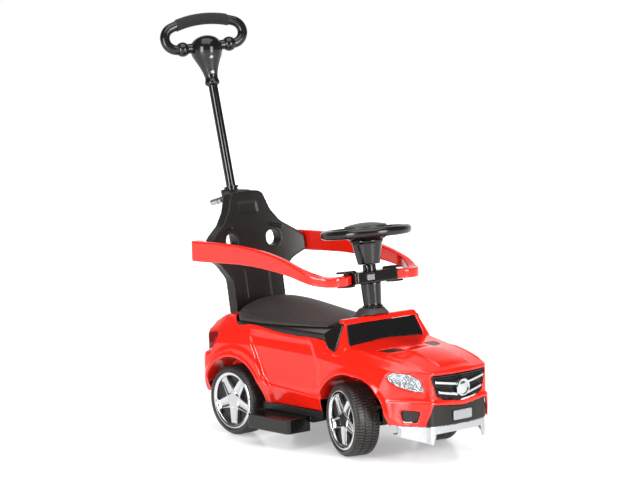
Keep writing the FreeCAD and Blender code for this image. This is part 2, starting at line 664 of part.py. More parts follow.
def build_body():
    cowl = cowl_solid(0)
    outer = body_solid(0).fuse(cowl)
    inner = body_solid(WALL, 60).fuse(cowl_solid(WALL, True))
    skin = outer.cut(inner)
    vaults, holes = [], []
    for axle_x, well_y in ((REAR_X + ARCH_SHIFT, REAR_WELL_Y), (FRONT_X + ARCH_SHIFT, FRONT_WELL_Y)):
        vault, space = wheel_wells(outer, axle_x, well_y)
        vaults.append(vault)
        holes.append(space)
    holes.append(prism(*opening_plan(), "xy", 200, 320))
    holes.append(box(OPEN_FRONT - 5, COWL_TOP[0], -90, 90, 200, 320))

    glass_skin = cowl.cut(cowl_solid(WALL, True))
    cutter, glass = pocket_and_piece(WINDSCREEN, 5, "yz", 120, 220, glass_skin)
    holes.append(cutter.cut(body_solid(0)))
    glass = moved(glass, -0.8, 0, 0)

    nose_skin = skin.common(box(330, 500, -100, 100, 60, 200))
    for node, points, radius in (("grille_insert", GRILLE, 5), ("lower_intake", LOWER_INTAKE, 4)):
        cutter, piece = pocket_and_piece(points, radius, "yz", 330, 420, nose_skin)
        parts[node] = moved(clean(piece), -GRILLE_SET, 0, 0)
        holes.append(cutter)
    badge_gap = rod(Vector(300, 0, BADGE_Z), Vector(1, 0, 0), BADGE_R + FIT, 200)
    bars = []
    for end, middle, half in GRILLE_BARS:
        lower = [(-half, end - BAR_HALF), (0, middle - BAR_HALF), (half, end - BAR_HALF)]
        upper = [(y, z + 2 * BAR_HALF) for y, z in reversed(lower)]
        bar = prism(lower + upper, 2, "yz", 330, 430)
        bar = moved(bar.common(nose_skin), WALL - GRILLE_SET + FIT, 0, 0).cut(badge_gap)
        bars.extend(bar.Solids)
    parts["grille_bars"] = group(bars)

    cutter, piece = pocket_and_piece(VENT, 4, "xy", 190, 260, skin.common(box(200, 290, 20, 90, 150, 300)))
    piece = moved(clean(piece), 0, 0, -1)
    holes.append(both(cutter))
    parts["hood_vents"] = group([piece, mirrored(piece)])
    rear_skin = skin.common(box(-330, -220, -200, -80, 150, 260))
    cutter, piece = pocket_and_piece(TAIL_LAMP, 8, "xz", -170, -100, rear_skin)
    holes.append(both(cutter))
    piece = clean(piece)
    parts["tail_lamps"] = group([piece, mirrored(piece)])

    reach = (-60, 40)
    corner_box = box(280, 500, -200, -40, 0, 300)
    corner_skin = skin.common(corner_box)
    lens = clean(corner_prism(inset(HEADLIGHT, FIT), 5 - FIT, *reach).common(corner_skin))
    behind = body_solid(WALL, 60).common(corner_box)
    reflector = corner_prism(inset(HEADLIGHT, FIT), 5 - FIT, -LAMP_DEPTH, 40).common(behind)
    hollow = corner_prism(inset(HEADLIGHT, FIT + 2), 3, 2 - LAMP_DEPTH, 40)
    reflector = clean(reflector.cut(hollow))
    holes.append(both(corner_prism(HEADLIGHT, 5, *reach).common(corner_box)))
    parts["headlight_lenses"] = group([lens, mirrored(lens)])
    parts["headlight_reflectors"] = group([reflector, mirrored(reflector)])
    intake = clean(corner_prism(inset(CORNER_INTAKE, FIT), 3 - FIT, *reach).common(corner_skin))
    intake = moved(intake, -0.6, 1.0, 0)
    holes.append(both(corner_prism(CORNER_INTAKE, 3, *reach).common(corner_box)))
    parts["corner_intakes"] = group([intake, mirrored(intake)])

    trim = clean(trim_prism(FIT))
    parts["side_trims"] = group([trim, mirrored(trim)])
    holes.append(both(prism(SIDE_TRIM, 6, "xz", 100, 160)))
    half = BACK_OUTLINE[0][0] + FIT
    holes.append(backrest_strip(FIT).common(box(-400, 0, -half, half, 200, 300)))
    holes.append(box(SKID_REAR, 500, -300, 300, 0, SKID_TOP))
    shell = skin.fuse(vaults).cut(holes)
    solids = sorted(shell.Solids, key=lambda solid: solid.Volume)
    parts["body_shell"] = solids[-1]
    parts["windscreen"] = clean(glass.cut(solids[-1]))


# Front trim
SKID_TOP = 80.0
SKID_LOW = 58.0
SKID_REAR = 305.0
FIN_LOW = 40.0        # fins at the skid plate's corners: tip height and distances from the middle plane
FIN_OUT = 118.0
FIN_TIP = 72.0
FIN_IN = 66.0
BADGE_R = 18.5
BADGE_Z = 155.0
NOSE_X = 396.4        # foremost body skin, on the middle plane
GRILLE_SET = 1.8      # grille and intake stand back from the skin
GRILLE_BARS = [(172, 161.5, 70), (150.5, 139, 62)]   # height of ends and middle, half-length
BAR_HALF = 3.0
PLATE_HALF = 26.0
PLATE_LOW = 88.0
PLATE_TALL = 20.0
LAMP_DEPTH = 30.0     # lamp cups reach this far behind the corner plane


def build_front_trim():
    plan = sym(PLAN)
    plan_radii = sym_radii(PLAN, PLAN_ROUND)
    hull = Part.makeLoft([section_wire(*row, 0, 60) for row in SECTIONS], True, False)
    band = inset_prism(plan, plan_radii, 3, "xy", SKID_LOW, SKID_TOP).common(hull)
    hollow = inset_prism(plan, plan_radii, 9, "xy", SKID_LOW + 4, SKID_TOP)
    skid = band.cut(hollow).common(box(SKID_REAR, 500, -300, 300, 0, 300))
    ramp = [(SKID_REAR - 60, 0), (420, 0), (420, SKID_TOP + 6), (SKID_REAR + 60, SKID_LOW)]
    slope = prism(ramp, 0, "xz", -200, 200)
    skid = skid.cut(slope.common(box(372, 500, -300, 300, 0, SKID_LOW + 6)))
    root = SKID_LOW + 6
    fin = [(FIN_OUT, SKID_LOW), (FIN_TIP, FIN_LOW), (FIN_IN, SKID_LOW), (FIN_IN, root), (FIN_OUT, root)]
    fins = inset_prism(plan, plan_radii, 3, "xy", FIN_LOW, root).common(hull)
    fins = fins.cut(inset_prism(plan, plan_radii, 9, "xy", 0, SKID_TOP))
    fins = fins.common(both(prism(fin, 0, "yz", SKID_REAR, 500)))
    parts["skid_plate"] = clean(skid.fuse(fins))

    disc = rod(Vector(NOSE_X - GRILLE_SET + FIT, 0, BADGE_Z), Vector(1, 0, 0), BADGE_R, 7)
    parts["badge_disc"] = disc.common(Part.makeSphere(60, Vector(NOSE_X - GRILLE_SET + 7 - 60, 0, BADGE_Z)))
    plate = [(-PLATE_HALF, PLATE_LOW), (PLATE_HALF, PLATE_LOW),
             (PLATE_HALF, PLATE_LOW + PLATE_TALL), (-PLATE_HALF, PLATE_LOW + PLATE_TALL)]
    parts["number_plate"] = prism(plate, 3, "yz", NOSE_X - GRILLE_SET + FIT, NOSE_X + 2)


# Backrest and push handle
BACK_X = -250.0       # front face at the seat
BACK_Z = 262.0
BACK_LEAN = 9.0
BACK_T = 28.0
BACK_BOW = 24.0       # wings stand this far forward of the middle
BACK_FOOT = 226.0
BACK_OUTLINE = [(74, 200), (74, 335), (104, 370), (139, 388), (139, 420),
                (118, 437), (84, 458), (62, 486), (45, 530)]
BACK_ROUND = [0, 30, 40, 14, 12, 18, 30, 40, 18]


def backrest_strip(grow=0.0, front=0.0):
    """Bowed slab, leaning back; front moves the front face rearward."""
    half = 150.0
    bow = BACK_BOW * (half / 139) ** 2
    shift = -math.tan(math.radians(BACK_LEAN)) * (BACK_FOOT - BACK_Z)
    x0 = BACK_X + shift + grow - front
    x1 = BACK_X + shift - BACK_T - grow
    z = BACK_FOOT - 2 * grow
    face_arc = Part.Arc(Vector(x0 + bow, -half, z), Vector(x0, 0, z), Vector(x0 + bow, half, z)).toShape()
    rear_arc = Part.Arc(Vector(x1 + bow, half, z), Vector(x1, 0, z), Vector(x1 + bow, -half, z)).toShape()
    ends = [Part.makeLine(Vector(x0 + bow, half, z), Vector(x1 + bow, half, z)),
            Part.makeLine(Vector(x1 + bow, -half, z), Vector(x0 + bow, -half, z))]
    face = Part.Face(Part.Wire([face_arc, ends[0], rear_arc, ends[1]]))
    tall = 330.0
    return face.extrude(Vector(-tall * math.tan(math.radians(BACK_LEAN)), 0, tall))


def tube_axis():
    lean = math.radians(TUBE_LEAN)
    return Vector(-math.sin(lean), 0, math.cos(lean))


def tube_point(rise):
    return Vector(TUBE_X, 0, TUBE_Z) + tube_axis() * rise


def on_tube(shape, rise):
    shape = turned(shape, Vector(0, 0, 0), Vector(0, 1, 0), -TUBE_LEAN)
    base = tube_point(rise)
    return moved(shape, base.x, base.y, base.z)


def twisted(shape):
    return turned(shape, Vector(TUBE_X, 0, TUBE_Z), tube_axis(), HANDLE_TWIST)


SPINE_HALF = 19.0
HOLE_Y = 61.0         # oval holes: middle and half sizes
HOLE_Z = 420.0
HOLE_WIDE = 19.0
HOLE_TALL = 18.0
HOLE_FLAT = 2.0       # how much squarer than a full round
HOLE_COLLAR = 4.0     # wall round the hole
SLOT = [(54, 450), (88, 441), (88, 447), (54, 456)]   # slanted slot above each hole
SLOT_DEEP = 5.0
RECESS = [(-28, 480), (28, 480), (26, 507), (-26, 507)]
BUSH_TOP = 8.0        # bush flange above TUBE_Z
SCREW_RISE = -15.0
SCREW_R = 4.0


def hole_prism(grow):
    """Bar through the left hand hole of the backrest, larger all round by grow."""
    wide = HOLE_WIDE + grow
    tall = HOLE_TALL + grow
    points = [(HOLE_Y - wide, HOLE_Z - tall), (HOLE_Y + wide, HOLE_Z - tall),
              (HOLE_Y + wide, HOLE_Z + tall), (HOLE_Y - wide, HOLE_Z + tall)]
    return prism(points, min(wide, tall) - HOLE_FLAT, "yz", -450, -150)


def build_backrest():
    points = BACK_OUTLINE + [(-y, z) for y, z in reversed(BACK_OUTLINE)]
    radii = BACK_ROUND + list(reversed(BACK_ROUND))
    shape = backrest_strip().common(prism(points, radii, "yz", -450, -150))
    inner = inset(points, 5)
    hollow = backrest_strip(8.0, 13.0).common(prism(inner, [max(r - 5, 0) for r in radii], "yz", -450, -150))
    shape = shape.cut(hollow)
    collar = hole_prism(HOLE_COLLAR)
    shape = shape.fuse(both(collar).common(backrest_strip())).cut(both(hole_prism(0)))
    slot_layer = backrest_strip(1.0).cut(backrest_strip(0.0, SLOT_DEEP))
    shape = shape.cut(both(prism(SLOT, 0, "yz", -450, -150)).common(slot_layer))
    slant = math.radians(BACK_LEAN)

    def front_x(z):
        return BACK_X - (z - BACK_Z) * math.tan(slant)

    def spine_x(z):
        return TUBE_X + (TUBE_Z - z) * math.tan(math.radians(TUBE_LEAN))

    low, high = 292.0, TUBE_Z + 2
    spine = prism([(front_x(low) - 6, low), (front_x(high) - 6, high), (spine_x(high) - SPINE_HALF, high),
                   (spine_x(low) - SPINE_HALF, low)], 0, "xz", -SPINE_HALF, SPINE_HALF)
    shape = shape.fuse(spine)
    recess = prism(RECESS, 5, "yz", -450, -150)
    shape = shape.cut(recess.common(backrest_strip(1.0).cut(backrest_strip(0.0, 2.0))))
    shape = shape.cut(on_tube(rod(Vector(0, 0, -TUBE_FOOT), UP, TUBE_R + SEAM, TUBE_FOOT + 60), 0))
    shape = shape.cut(on_tube(rod(Vector(0, 0, -BUSH_H), UP, BUSH_R + RUN, BUSH_H + 60), 0))
    top = on_tube(box(-60, 30, -40, 40, BUSH_TOP - 4, 80), 0)
    shape = shape.cut(top)
    shape = shape.cut(screw_axis_rod(SCREW_R + RUN, TUBE_R, 60))
    lug = capsule(0, 30, 9.5, LUG_Z0, LUG_Z1)
    lug = turned(lug, Vector(0, 0, 0), UP, -38)
    lug = moved(lug, RAIL_PIN_X, RAIL_PIN_Y, 0)
    shape = shape.fuse(both(lug).cut(hollow))
    shape = shape.cut(rod(Vector(RAIL_PIN_X, RAIL_PIN_Y, 300), UP, RAIL_PIN_R, 200))
    shape = shape.cut(rod(Vector(RAIL_PIN_X, -RAIL_PIN_Y, 300), UP, RAIL_PIN_R, 200))
    shape = clean(shape.common(box(-500, 0, -300, 300, BACK_FOOT, 700)))
    parts["backrest"] = shape


def screw_axis_rod(radius, start, end):
    lean = math.radians(TUBE_LEAN)
    back = Vector(-math.cos(lean), 0, -math.sin(lean))
    return rod(tube_point(SCREW_RISE) + back * start, back, radius, end - start)


def build_clamp_screw():
    screw = screw_axis_rod(SCREW_R, BUSH_R + 0.5, 42)
    head = screw_axis_rod(7.5, 40, 78)
    groove = screw_axis_rod(9, 50, 53).cut(screw_axis_rod(5.5, 50, 53))
    parts["clamp_screw"] = clean(screw.fuse(head).cut(groove))


HUB_H = 118.0
HUB_PROFILE = [(17.5, 8), (15.5, 15), (16.5, 26), (21, 41), (29, 59),
               (35.5, 75), (37, 89), (32, 104.5), (19.5, 114.5)]
HUB_CAVITY = 26.0
HUB_CAVITY_Z = 82.0
BALL_Y = 56.0
BALL_R = 17.0
GRIP_HALF = 62.0
GRIP_R = 13.5
RING_LOW = 92.5
RING_SIDE = 93.5
RING_BEND = 27.0
RING_TURN = 70.0      # the side bends end at this angle, where the top bridge takes over


def hub_solid():
    curve_up = Part.BSplineCurve()
    curve_up.interpolate([Vector(r, 0, z) for r, z in [(12.5, 0)] + HUB_PROFILE + [(0, HUB_H)]])
    side = curve_up.toShape()
    axis = Part.makeLine(Vector(0, 0, HUB_H), Vector(0, 0, 0))
    foot = Part.makeLine(Vector(0, 0, 0), Vector(12.5, 0, 0))
    face = Part.Face(Part.Wire([side, axis, foot]))
    return face.revolve(Vector(0, 0, 0), UP, 360)


def bent_rod(radius, start, centre_y, centre_z, angle):
    """Round bar bent about an axis along X, from a start point in the plane X 0."""
    out = Vector(0, start[0] - centre_y, start[1] - centre_z)
    along = Vector(1, 0, 0).cross(out)
    ring = Part.makeCircle(radius, Vector(0, *start), along)
    return Part.Face(Part.Wire([ring])).revolve(Vector(0, centre_y, centre_z), Vector(1, 0, 0), angle)


def ring_shapes(radius):
    """Side arm and top bridge of the handle ring, as bars of a given radius."""
    centre_y = RING_SIDE - RING_BEND
    centre_z = RING_LOW + RING_BEND
    left = math.radians(RING_TURN)
    end = (centre_y + RING_BEND * math.cos(left), centre_z + RING_BEND * math.sin(left))
    arm = bent_rod(radius, (centre_y, RING_LOW), centre_y, centre_z, 90 + RING_TURN)
    bridge_z = end[1] - end[0] * math.tan(left)
    bridge = bent_rod(radius, end, 0, bridge_z, 180 - 2 * RING_TURN)
    return arm, bridge


def build_handle():
    tube_top = HUB_UP + 40
    tube = rod(Vector(0, 0, -TUBE_FOOT + 1), UP, TUBE_R, tube_top + TUBE_FOOT - 1)
    tube = tube.cut(rod(Vector(0, 0, -TUBE_FOOT), UP, TUBE_R - TUBE_WALL, tube_top + TUBE_FOOT + 5))
    parts["push_tube"] = on_tube(tube, 0)

    bush = rod(Vector(0, 0, -BUSH_H + 1), UP, BUSH_R, BUSH_H + BUSH_TOP - 2)
    bush = bush.fuse(rod(Vector(0, 0, BUSH_TOP - 4 + SEAM / 3), UP, BUSH_R + 3, 4))
    bush = bush.cut(rod(Vector(0, 0, -300), UP, TUBE_R + RUN, 600))
    parts["tube_bush"] = on_tube(clean(bush), 0)

    arm, bridge = ring_shapes(RING_TUBE)
    foot = rod(Vector(0, 20, RING_LOW), Vector(0, 1, 0), RING_TUBE, RING_SIDE - RING_BEND - 20)
    ring = clean(both(arm.fuse(foot)).fuse(bridge))
    slab = box(-40, 40, -GRIP_HALF, GRIP_HALF, 0, 300)
    grip = clean(ring_shapes(GRIP_R)[1].common(slab).cut(ring))

    hub = hub_solid()
    tube_gap = rod(Vector(0, 0, -5), UP, TUBE_R, 45)
    cavity = Part.makeSphere(HUB_CAVITY, Vector(0, 0, HUB_CAVITY_Z))
    hub = hub.cut(tube_gap).cut(cavity).cut(ring)
    balls = []
    for side in (1, -1):
        ball = Part.makeSphere(BALL_R, Vector(0, side * BALL_Y, RING_LOW)).cut(ring).cut(hub)
        balls.append(clean(ball))
    screws = []
    for z, depth in ((29, 17.5), (62.5, 31.0)):
        head = rod(Vector(depth - 5, 0, z), Vector(1, 0, 0), 4.0, 6)
        shank = rod(Vector(2, 0, z), Vector(1, 0, 0), 2.0, depth - 6)
        screw = head.fuse(shank).cut(tube_gap).cut(cavity)
        screws.append(clean(screw))
        hub = hub.cut(head.fuse(shank))
    front_half = clean(hub.common(box(0, 60, -60, 60, -10, 200)))
    rear_half = clean(hub.common(box(-60, 0, -60, 60, -10, 200)))
    for node, shape in (("handle_hub_front", front_half), ("handle_hub_rear", rear_half),
                        ("handle_ring", ring), ("foam_grip", grip),
                        ("handle_balls", group(balls)), ("hub_screws", group(screws))):
        parts[node] = twisted(on_tube(shape, HUB_UP))


# Cockpit, seat and floor
TUB_REAR = -205.0
TUB_FRONT = 20.0
TUB_HALF = 70.0
TUB_LOW = 102.0
HINGE_X = 66.0
HINGE_Z = 259.0
HINGE_R = 6.0
HINGE_PIN_R = 3.0
SEAT_LOW = DECK_Z + SEAM
SEAT_WALL = 4.0
# seat sections: X, half-width, rise of the edge and rise of the crown above the seat's underside
SEAT = [(-238, 84, 10, 28), (-200, 112, 10, 44), (-112, 119, 9, 38), (-45, 108, 7, 25), (5, 90, 6, 17),
        (56, 66, 5, 11)]


def seat_solid(depth):
    wires = []
    for x, half, edge, crown in SEAT:
        half -= depth
        base = SEAT_LOW - depth
        a = Vector(x, -half, base)
        b = Vector(x, half, base)
        c = Vector(x, half, SEAT_LOW + edge - depth)
        d = Vector(x, -half, SEAT_LOW + edge - depth)
        top = Part.Arc(c, Vector(x, 0, SEAT_LOW + crown - depth), d).toShape()
        wires.append(Part.Wire([Part.makeLine(a, b), Part.makeLine(b, c), top, Part.makeLine(d, a)]))
    return Part.makeLoft(wires, True, False)


def build_cockpit():
    rim, rim_round = opening_plan()
    deck = inset_prism(rim, rim_round, FIT, "xy", DECK_SKIRT, DECK_Z)
    deck = deck.cut(inset_prism(rim, rim_round, FIT + DECK_T, "xy", DECK_SKIRT - 1, DECK_Z - DECK_T))
    deck = deck.cut(both(trim_prism(0)))
    tub = [(TUB_REAR, -TUB_HALF), (TUB_FRONT, -TUB_HALF), (TUB_FRONT, TUB_HALF), (TUB_REAR, TUB_HALF)]
    deck = deck.fuse(prism(tub, 14, "xy", TUB_LOW, DECK_Z))
    deck = deck.cut(inset_prism(tub, [14] * 4, WALL, "xy", TUB_LOW + WALL, DECK_Z + 5))
    lug = rod(Vector(HINGE_X, 20, HINGE_Z), Vector(0, 1, 0), HINGE_R, 12)
    lug = lug.fuse(box(HINGE_X - HINGE_R, HINGE_X + HINGE_R, 20, 32, DECK_Z - 2, HINGE_Z))
    deck = deck.fuse(both(lug))
    deck = deck.cut(rod(Vector(HINGE_X, -40, HINGE_Z), Vector(0, 1, 0), HINGE_PIN_R, 80))
    shaft_gap = rod(column_point(-150), column_axis(), SHAFT_R + 2, 200)
    deck = deck.cut(shaft_gap)
    parts["cockpit_deck"] = clean(deck)
    parts["seat_hinge_pin"] = rod(Vector(HINGE_X, -32, HINGE_Z), Vector(0, 1, 0), HINGE_PIN_R, 64)

    plan = [(-238, -60), (-190, -119), (-40, -119), (56, -72), (56, 72), (-40, 119), (-190, 119), (-238, 60)]
    seat = seat_solid(0).common(prism(plan, [60, 50, 60, 14, 14, 60, 50, 60], "xy", 200, 400))
    hollow = seat_solid(SEAT_WALL)
    hollow = hollow.common(inset_prism(plan, [60, 50, 60, 14, 14, 60, 50, 60], SEAT_WALL, "xy", 200, 400))
    seat = seat.cut(hollow)
    knuckle = rod(Vector(HINGE_X, SEAM - 20, HINGE_Z), Vector(0, 1, 0), HINGE_R - 1, 40 - 2 * SEAM)
    tab = box(50, HINGE_X, SEAM - 20, 20 - SEAM, HINGE_Z - 3, HINGE_Z + 2)
    seat = seat.fuse(knuckle).fuse(tab)
    seat = seat.cut(rod(Vector(HINGE_X, -40, HINGE_Z), Vector(0, 1, 0), HINGE_PIN_R + RUN, 80))
    parts["seat_lid"] = clean(seat)

    top = column_point(0)
    dome = Part.makeCone(64, 26, COLUMN_Z - DECK_Z, Vector(top.x - 2, 0, DECK_Z))
    dome = dome.cut(box(COWL_TOP[0] - 1.5, 300, -100, 100, 0, COWL_TOP_Z + 1))
    dome = dome.cut(box(COWL_TOP[1] + 3, 300, -100, 100, 0, 400))
    dome = dome.cut(box(0, HINGE_X + HINGE_R + 4, -100, 100, 0, 400))
    lean_cut = on_column(box(-100, 100, -100, 100, 0, 50), 0)
    dome = dome.cut(lean_cut)
    dome = dome.cut(Part.makeCone(60, 22, COLUMN_Z - DECK_Z, Vector(top.x - 6, 0, DECK_Z - 4)))
    dome = dome.cut(rod(column_point(-150), column_axis(), SHAFT_R + 2, 300))
    parts["dash_cowl"] = clean(dome)


RAISED_LOW = BEAM_HIGH
RAISED_T = 4.0
RAISED_REAR = 96.0
RAISED_FRONT = 300.0
RAISED_HALF = 46.0
BEAM_SCREW_X = 7.0
BEAM_SCREW_Y = 30.0


def build_floor():
    rear, front = FOOT_REAR - 12.3, 100.0
    pan = box(rear, front, -PAN_HALF, PAN_HALF, PAN_LOW, SILL_Z - SEAM / 2)
    pan = pan.cut(box(rear + 4, front - 4, 8 - PAN_HALF, PAN_HALF - 8, PAN_LOW + PAN_T, SILL_Z + 1))
    pan = pan.fuse(box(-250, rear + 1, -80, 80, PAN_LOW, PAN_LOW + PAN_T))
    pan = pan.fuse(box(REAR_X - 15, REAR_X + 15, 7 - WHEEL_MID_Y, WHEEL_MID_Y - 7,
                       WHEEL_R - 15, WHEEL_R + 16))
    pan = pan.cut(box(REAR_X - 16, REAR_X + 16, -60, 60, WHEEL_R + 8, WHEEL_R + 20))
    pan = pan.cut(rod(Vector(REAR_X, -200, WHEEL_R), Vector(0, 1, 0), AXLE_R, 400))
    raised_top = RAISED_LOW + RAISED_T
    pan = pan.fuse(box(RAISED_REAR, RAISED_FRONT, -RAISED_HALF, RAISED_HALF, RAISED_LOW, raised_top))
    pan = pan.fuse(box(RAISED_REAR, front, -RAISED_HALF, RAISED_HALF, PAN_LOW, raised_top))
    web_in = FOOT_REAR - FLANGE - SEAM
    guide = box(web_in - 4, web_in, 2 - PAN_HALF, PAN_HALF - 2, FOOT_TOP - 12, PAN_LOW + 1)
    lip = box(web_in - 4, FOOT_REAR - 2 * SEAM, 2 - PAN_HALF, PAN_HALF - 2, FOOT_TOP - 12, FOOT_TOP - 8)
    guide = guide.fuse(lip)
    middle = (FOOT_REAR + FOOT_FRONT) / 2
    other = guide.mirror(Vector(middle, 0, 0), Vector(1, 0, 0))
    pan = pan.fuse(guide).fuse(other)
    pan = pan.cut(rod(column_point(-300), column_axis(), SHAFT_R + RUN, 200))
    screws = beam_screws()
    for screw in screws:
        pan = pan.cut(screw)
    parts["beam_screws"] = group(screws)
    parts["floor_pan"] = clean(pan)

    half = 13.0
    beam = box(FRONT_X - half, FRONT_X + half, -RAISED_HALF, RAISED_HALF, BEAM_LOW, BEAM_HIGH)
    arm = box(FRONT_X - 11, FRONT_X + 11, 0, KINGPIN_Y, 0, 8)
    arm = arm.fuse(rod(Vector(FRONT_X, KINGPIN_Y, 0), UP, 11, 8))
    for level in (BEAM_LOW, BEAM_HIGH - 8):
        beam = beam.fuse(both(moved(arm, 0, 0, level)))
    beam = beam.cut(box(FRONT_X - half + 4, FRONT_X + half - 4, -RAISED_HALF + 6, RAISED_HALF - 6,
                        BEAM_LOW - 1, BEAM_HIGH - 8))
    for side in (1, -1):
        beam = beam.cut(rod(Vector(FRONT_X, side * KINGPIN_Y, 0), UP, KINGPIN_R, 200))
    for screw in screws:
        beam = beam.cut(screw)
    parts["front_beam"] = clean(beam)
    pins = [rod(Vector(FRONT_X, side * KINGPIN_Y, BEAM_LOW - 1), UP, KINGPIN_R, BEAM_HIGH - BEAM_LOW + 2)
            for side in (1, -1)]
    parts["king_pins"] = group(pins)


def build_footrest(name, side):
    inner = PAN_HALF - 4
    plan = [(FOOT_REAR, inner), (FOOT_FRONT, inner),
            (FOOT_FRONT, FOOT_OUT - FOOT_CUT), (FOOT_FRONT - FOOT_CUT, FOOT_OUT),
            (FOOT_REAR + FOOT_CUT, FOOT_OUT), (FOOT_REAR, FOOT_OUT - FOOT_CUT)]
    tread = prism(plan, 0, "xy", FOOT_LOW, FOOT_TOP)
    tread = tread.cut(prism(inset(plan, WALL), 0, "xy", FOOT_LOW - 1, FOOT_TOP - WALL))
    flange = box(FOOT_REAR - FLANGE, FOOT_FRONT + FLANGE, TONGUE_IN, inner, FOOT_TOP - 8 + SEAM, FOOT_TOP)
    flange = flange.cut(box(FOOT_REAR + 10, FOOT_FRONT - 10, TONGUE_IN + 10, inner - 10, 0, 100))
    rest = clean(tread.fuse(flange))
    parts["footrest_" + name] = rest if side > 0 else mirrored(rest)


def beam_screws():
    """Four screws that hold the front beam up to the raised floor."""
    screws = []
    for dx in (-BEAM_SCREW_X, BEAM_SCREW_X):
        for y in (-BEAM_SCREW_Y, BEAM_SCREW_Y):
            head = rod(Vector(FRONT_X + dx, y, BEAM_HIGH + RAISED_T), UP, 4.0, 2.5)
            shank = rod(Vector(FRONT_X + dx, y, BEAM_HIGH - 7), UP, 1.8, RAISED_T + 7)
            screws.append(clean(head.fuse(shank)))
    return screws


build_wheels()
for word, hand in (("left", 1), ("right", -1)):
    build_knuckle(word, hand)
    build_rail(word, hand)
    build_footrest(word, hand)
build_tie_rod()
build_steering()
build_column()
build_backrest()
build_clamp_screw()
build_handle()
build_cockpit()
build_floor()
build_front_trim()
build_body()
parts["rail_pins"] = rail_pins()

os.makedirs("parts", exist_ok=True)
for node, shape in parts.items():
    moved(shape, AXLE_MID_X, 0, 0).exportStep("parts/" + node + ".step")
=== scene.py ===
import bpy
import json
import math
import numpy as np
from mathutils import Matrix, Vector

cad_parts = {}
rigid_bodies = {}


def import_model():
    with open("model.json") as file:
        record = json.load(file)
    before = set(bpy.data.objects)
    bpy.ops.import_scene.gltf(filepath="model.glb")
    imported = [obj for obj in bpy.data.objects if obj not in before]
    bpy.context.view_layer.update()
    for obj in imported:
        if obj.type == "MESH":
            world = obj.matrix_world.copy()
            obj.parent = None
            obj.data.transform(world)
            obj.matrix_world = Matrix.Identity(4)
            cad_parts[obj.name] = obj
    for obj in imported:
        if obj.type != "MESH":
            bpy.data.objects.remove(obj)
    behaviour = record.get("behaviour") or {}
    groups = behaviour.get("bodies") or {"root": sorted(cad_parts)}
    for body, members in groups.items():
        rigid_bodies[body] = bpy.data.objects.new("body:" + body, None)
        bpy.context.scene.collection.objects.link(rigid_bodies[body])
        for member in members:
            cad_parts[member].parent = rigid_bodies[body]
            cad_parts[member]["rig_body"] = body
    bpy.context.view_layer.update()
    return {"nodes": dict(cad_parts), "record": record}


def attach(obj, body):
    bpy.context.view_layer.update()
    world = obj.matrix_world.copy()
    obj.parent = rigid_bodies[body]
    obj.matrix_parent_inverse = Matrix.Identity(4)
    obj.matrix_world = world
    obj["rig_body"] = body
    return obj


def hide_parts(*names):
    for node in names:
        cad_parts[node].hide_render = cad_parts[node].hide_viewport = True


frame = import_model()
nodes = frame["nodes"]
scene = bpy.context.scene
mm = 0.001
midX = 37.45  # the middle of the wheelbase in the frame's X, mm
print("frame:", len(nodes), "CAD nodes")


# Modelling helpers

def makeActive(piece):
    if bpy.context.mode != "OBJECT":
        bpy.ops.object.mode_set(mode="OBJECT")
    bpy.ops.object.select_all(action="DESELECT")
    piece.select_set(True)
    bpy.context.view_layer.objects.active = piece


def applyModifier(piece, kind, **settings):
    makeActive(piece)
    modifier = piece.modifiers.new(kind.lower(), kind)
    for key, value in settings.items():
        setattr(modifier, key, value)
    bpy.ops.object.modifier_apply(modifier=modifier.name)


def copyNode(node, name):
    piece = bpy.data.objects.new(name, nodes[node].data.copy())
    scene.collection.objects.link(piece)
    makeActive(piece)
    bpy.ops.object.mode_set(mode="EDIT")
    bpy.ops.mesh.select_all(action="SELECT")
    bpy.ops.mesh.remove_doubles(threshold=0.01 * mm)
    bpy.ops.object.mode_set(mode="OBJECT")
    return piece


def soften(piece, voxel, rounds):
    applyModifier(piece, "REMESH", mode="VOXEL", voxel_size=voxel * mm)
    if rounds:
        applyModifier(piece, "SMOOTH", factor=0.5, iterations=rounds)
    makeActive(piece)
    bpy.ops.object.shade_smooth()


def readPoints(piece):
    # points in mm, X from the middle of the wheelbase
    flat = np.empty(len(piece.data.vertices) * 3)
    piece.data.vertices.foreach_get("co", flat)
    return flat.reshape(-1, 3) / mm - (midX, 0, 0)


def pushPoints(piece, move):
    # move takes and returns such points
    points = (move(readPoints(piece)) + (midX, 0, 0)) * mm
    piece.data.vertices.foreach_set("co", points.ravel())
    piece.data.update()


def smoothStep(value, low, high):
    t = np.clip((value - low) / (high - low), 0, 1)
    return t * t * (3 - 2 * t)


def finishPiece(piece, material, replaced):
    body = nodes[replaced[0]]["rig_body"]
    piece.data.materials.clear()
    piece.data.materials.append(material)
    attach(piece, body)
    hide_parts(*replaced)


# Materials

def toLinear(hexText):
    parts = [int(hexText[i:i + 2], 16) / 255 for i in (0, 2, 4)]
    return [c / 12.92 if c <= 0.04045 else ((c + 0.055) / 1.055) ** 2.4 for c in parts] + [1.0]


def addNode(tree, kind, settings=None, values=None, links=None):
    node = tree.nodes.new(kind)
    for key, value in (settings or {}).items():
        setattr(node, key, value)
    for key, value in (values or {}).items():
        node.inputs[key].default_value = value
    for key, source in (links or {}).items():
        tree.links.new(source, node.inputs[key])
    return node


def startMaterial(name, **values):
    material = bpy.data.materials.new(name)
    material.use_nodes = True
    shader = material.node_tree.nodes["Principled BSDF"]
    for key, value in values.items():
        socket = key.replace("_", " ")
        shader.inputs[socket].default_value = toLinear(value) if isinstance(value, str) else value
    place = addNode(material.node_tree, "ShaderNodeTexCoord")
    return material, material.node_tree, shader, place.outputs["Object"]


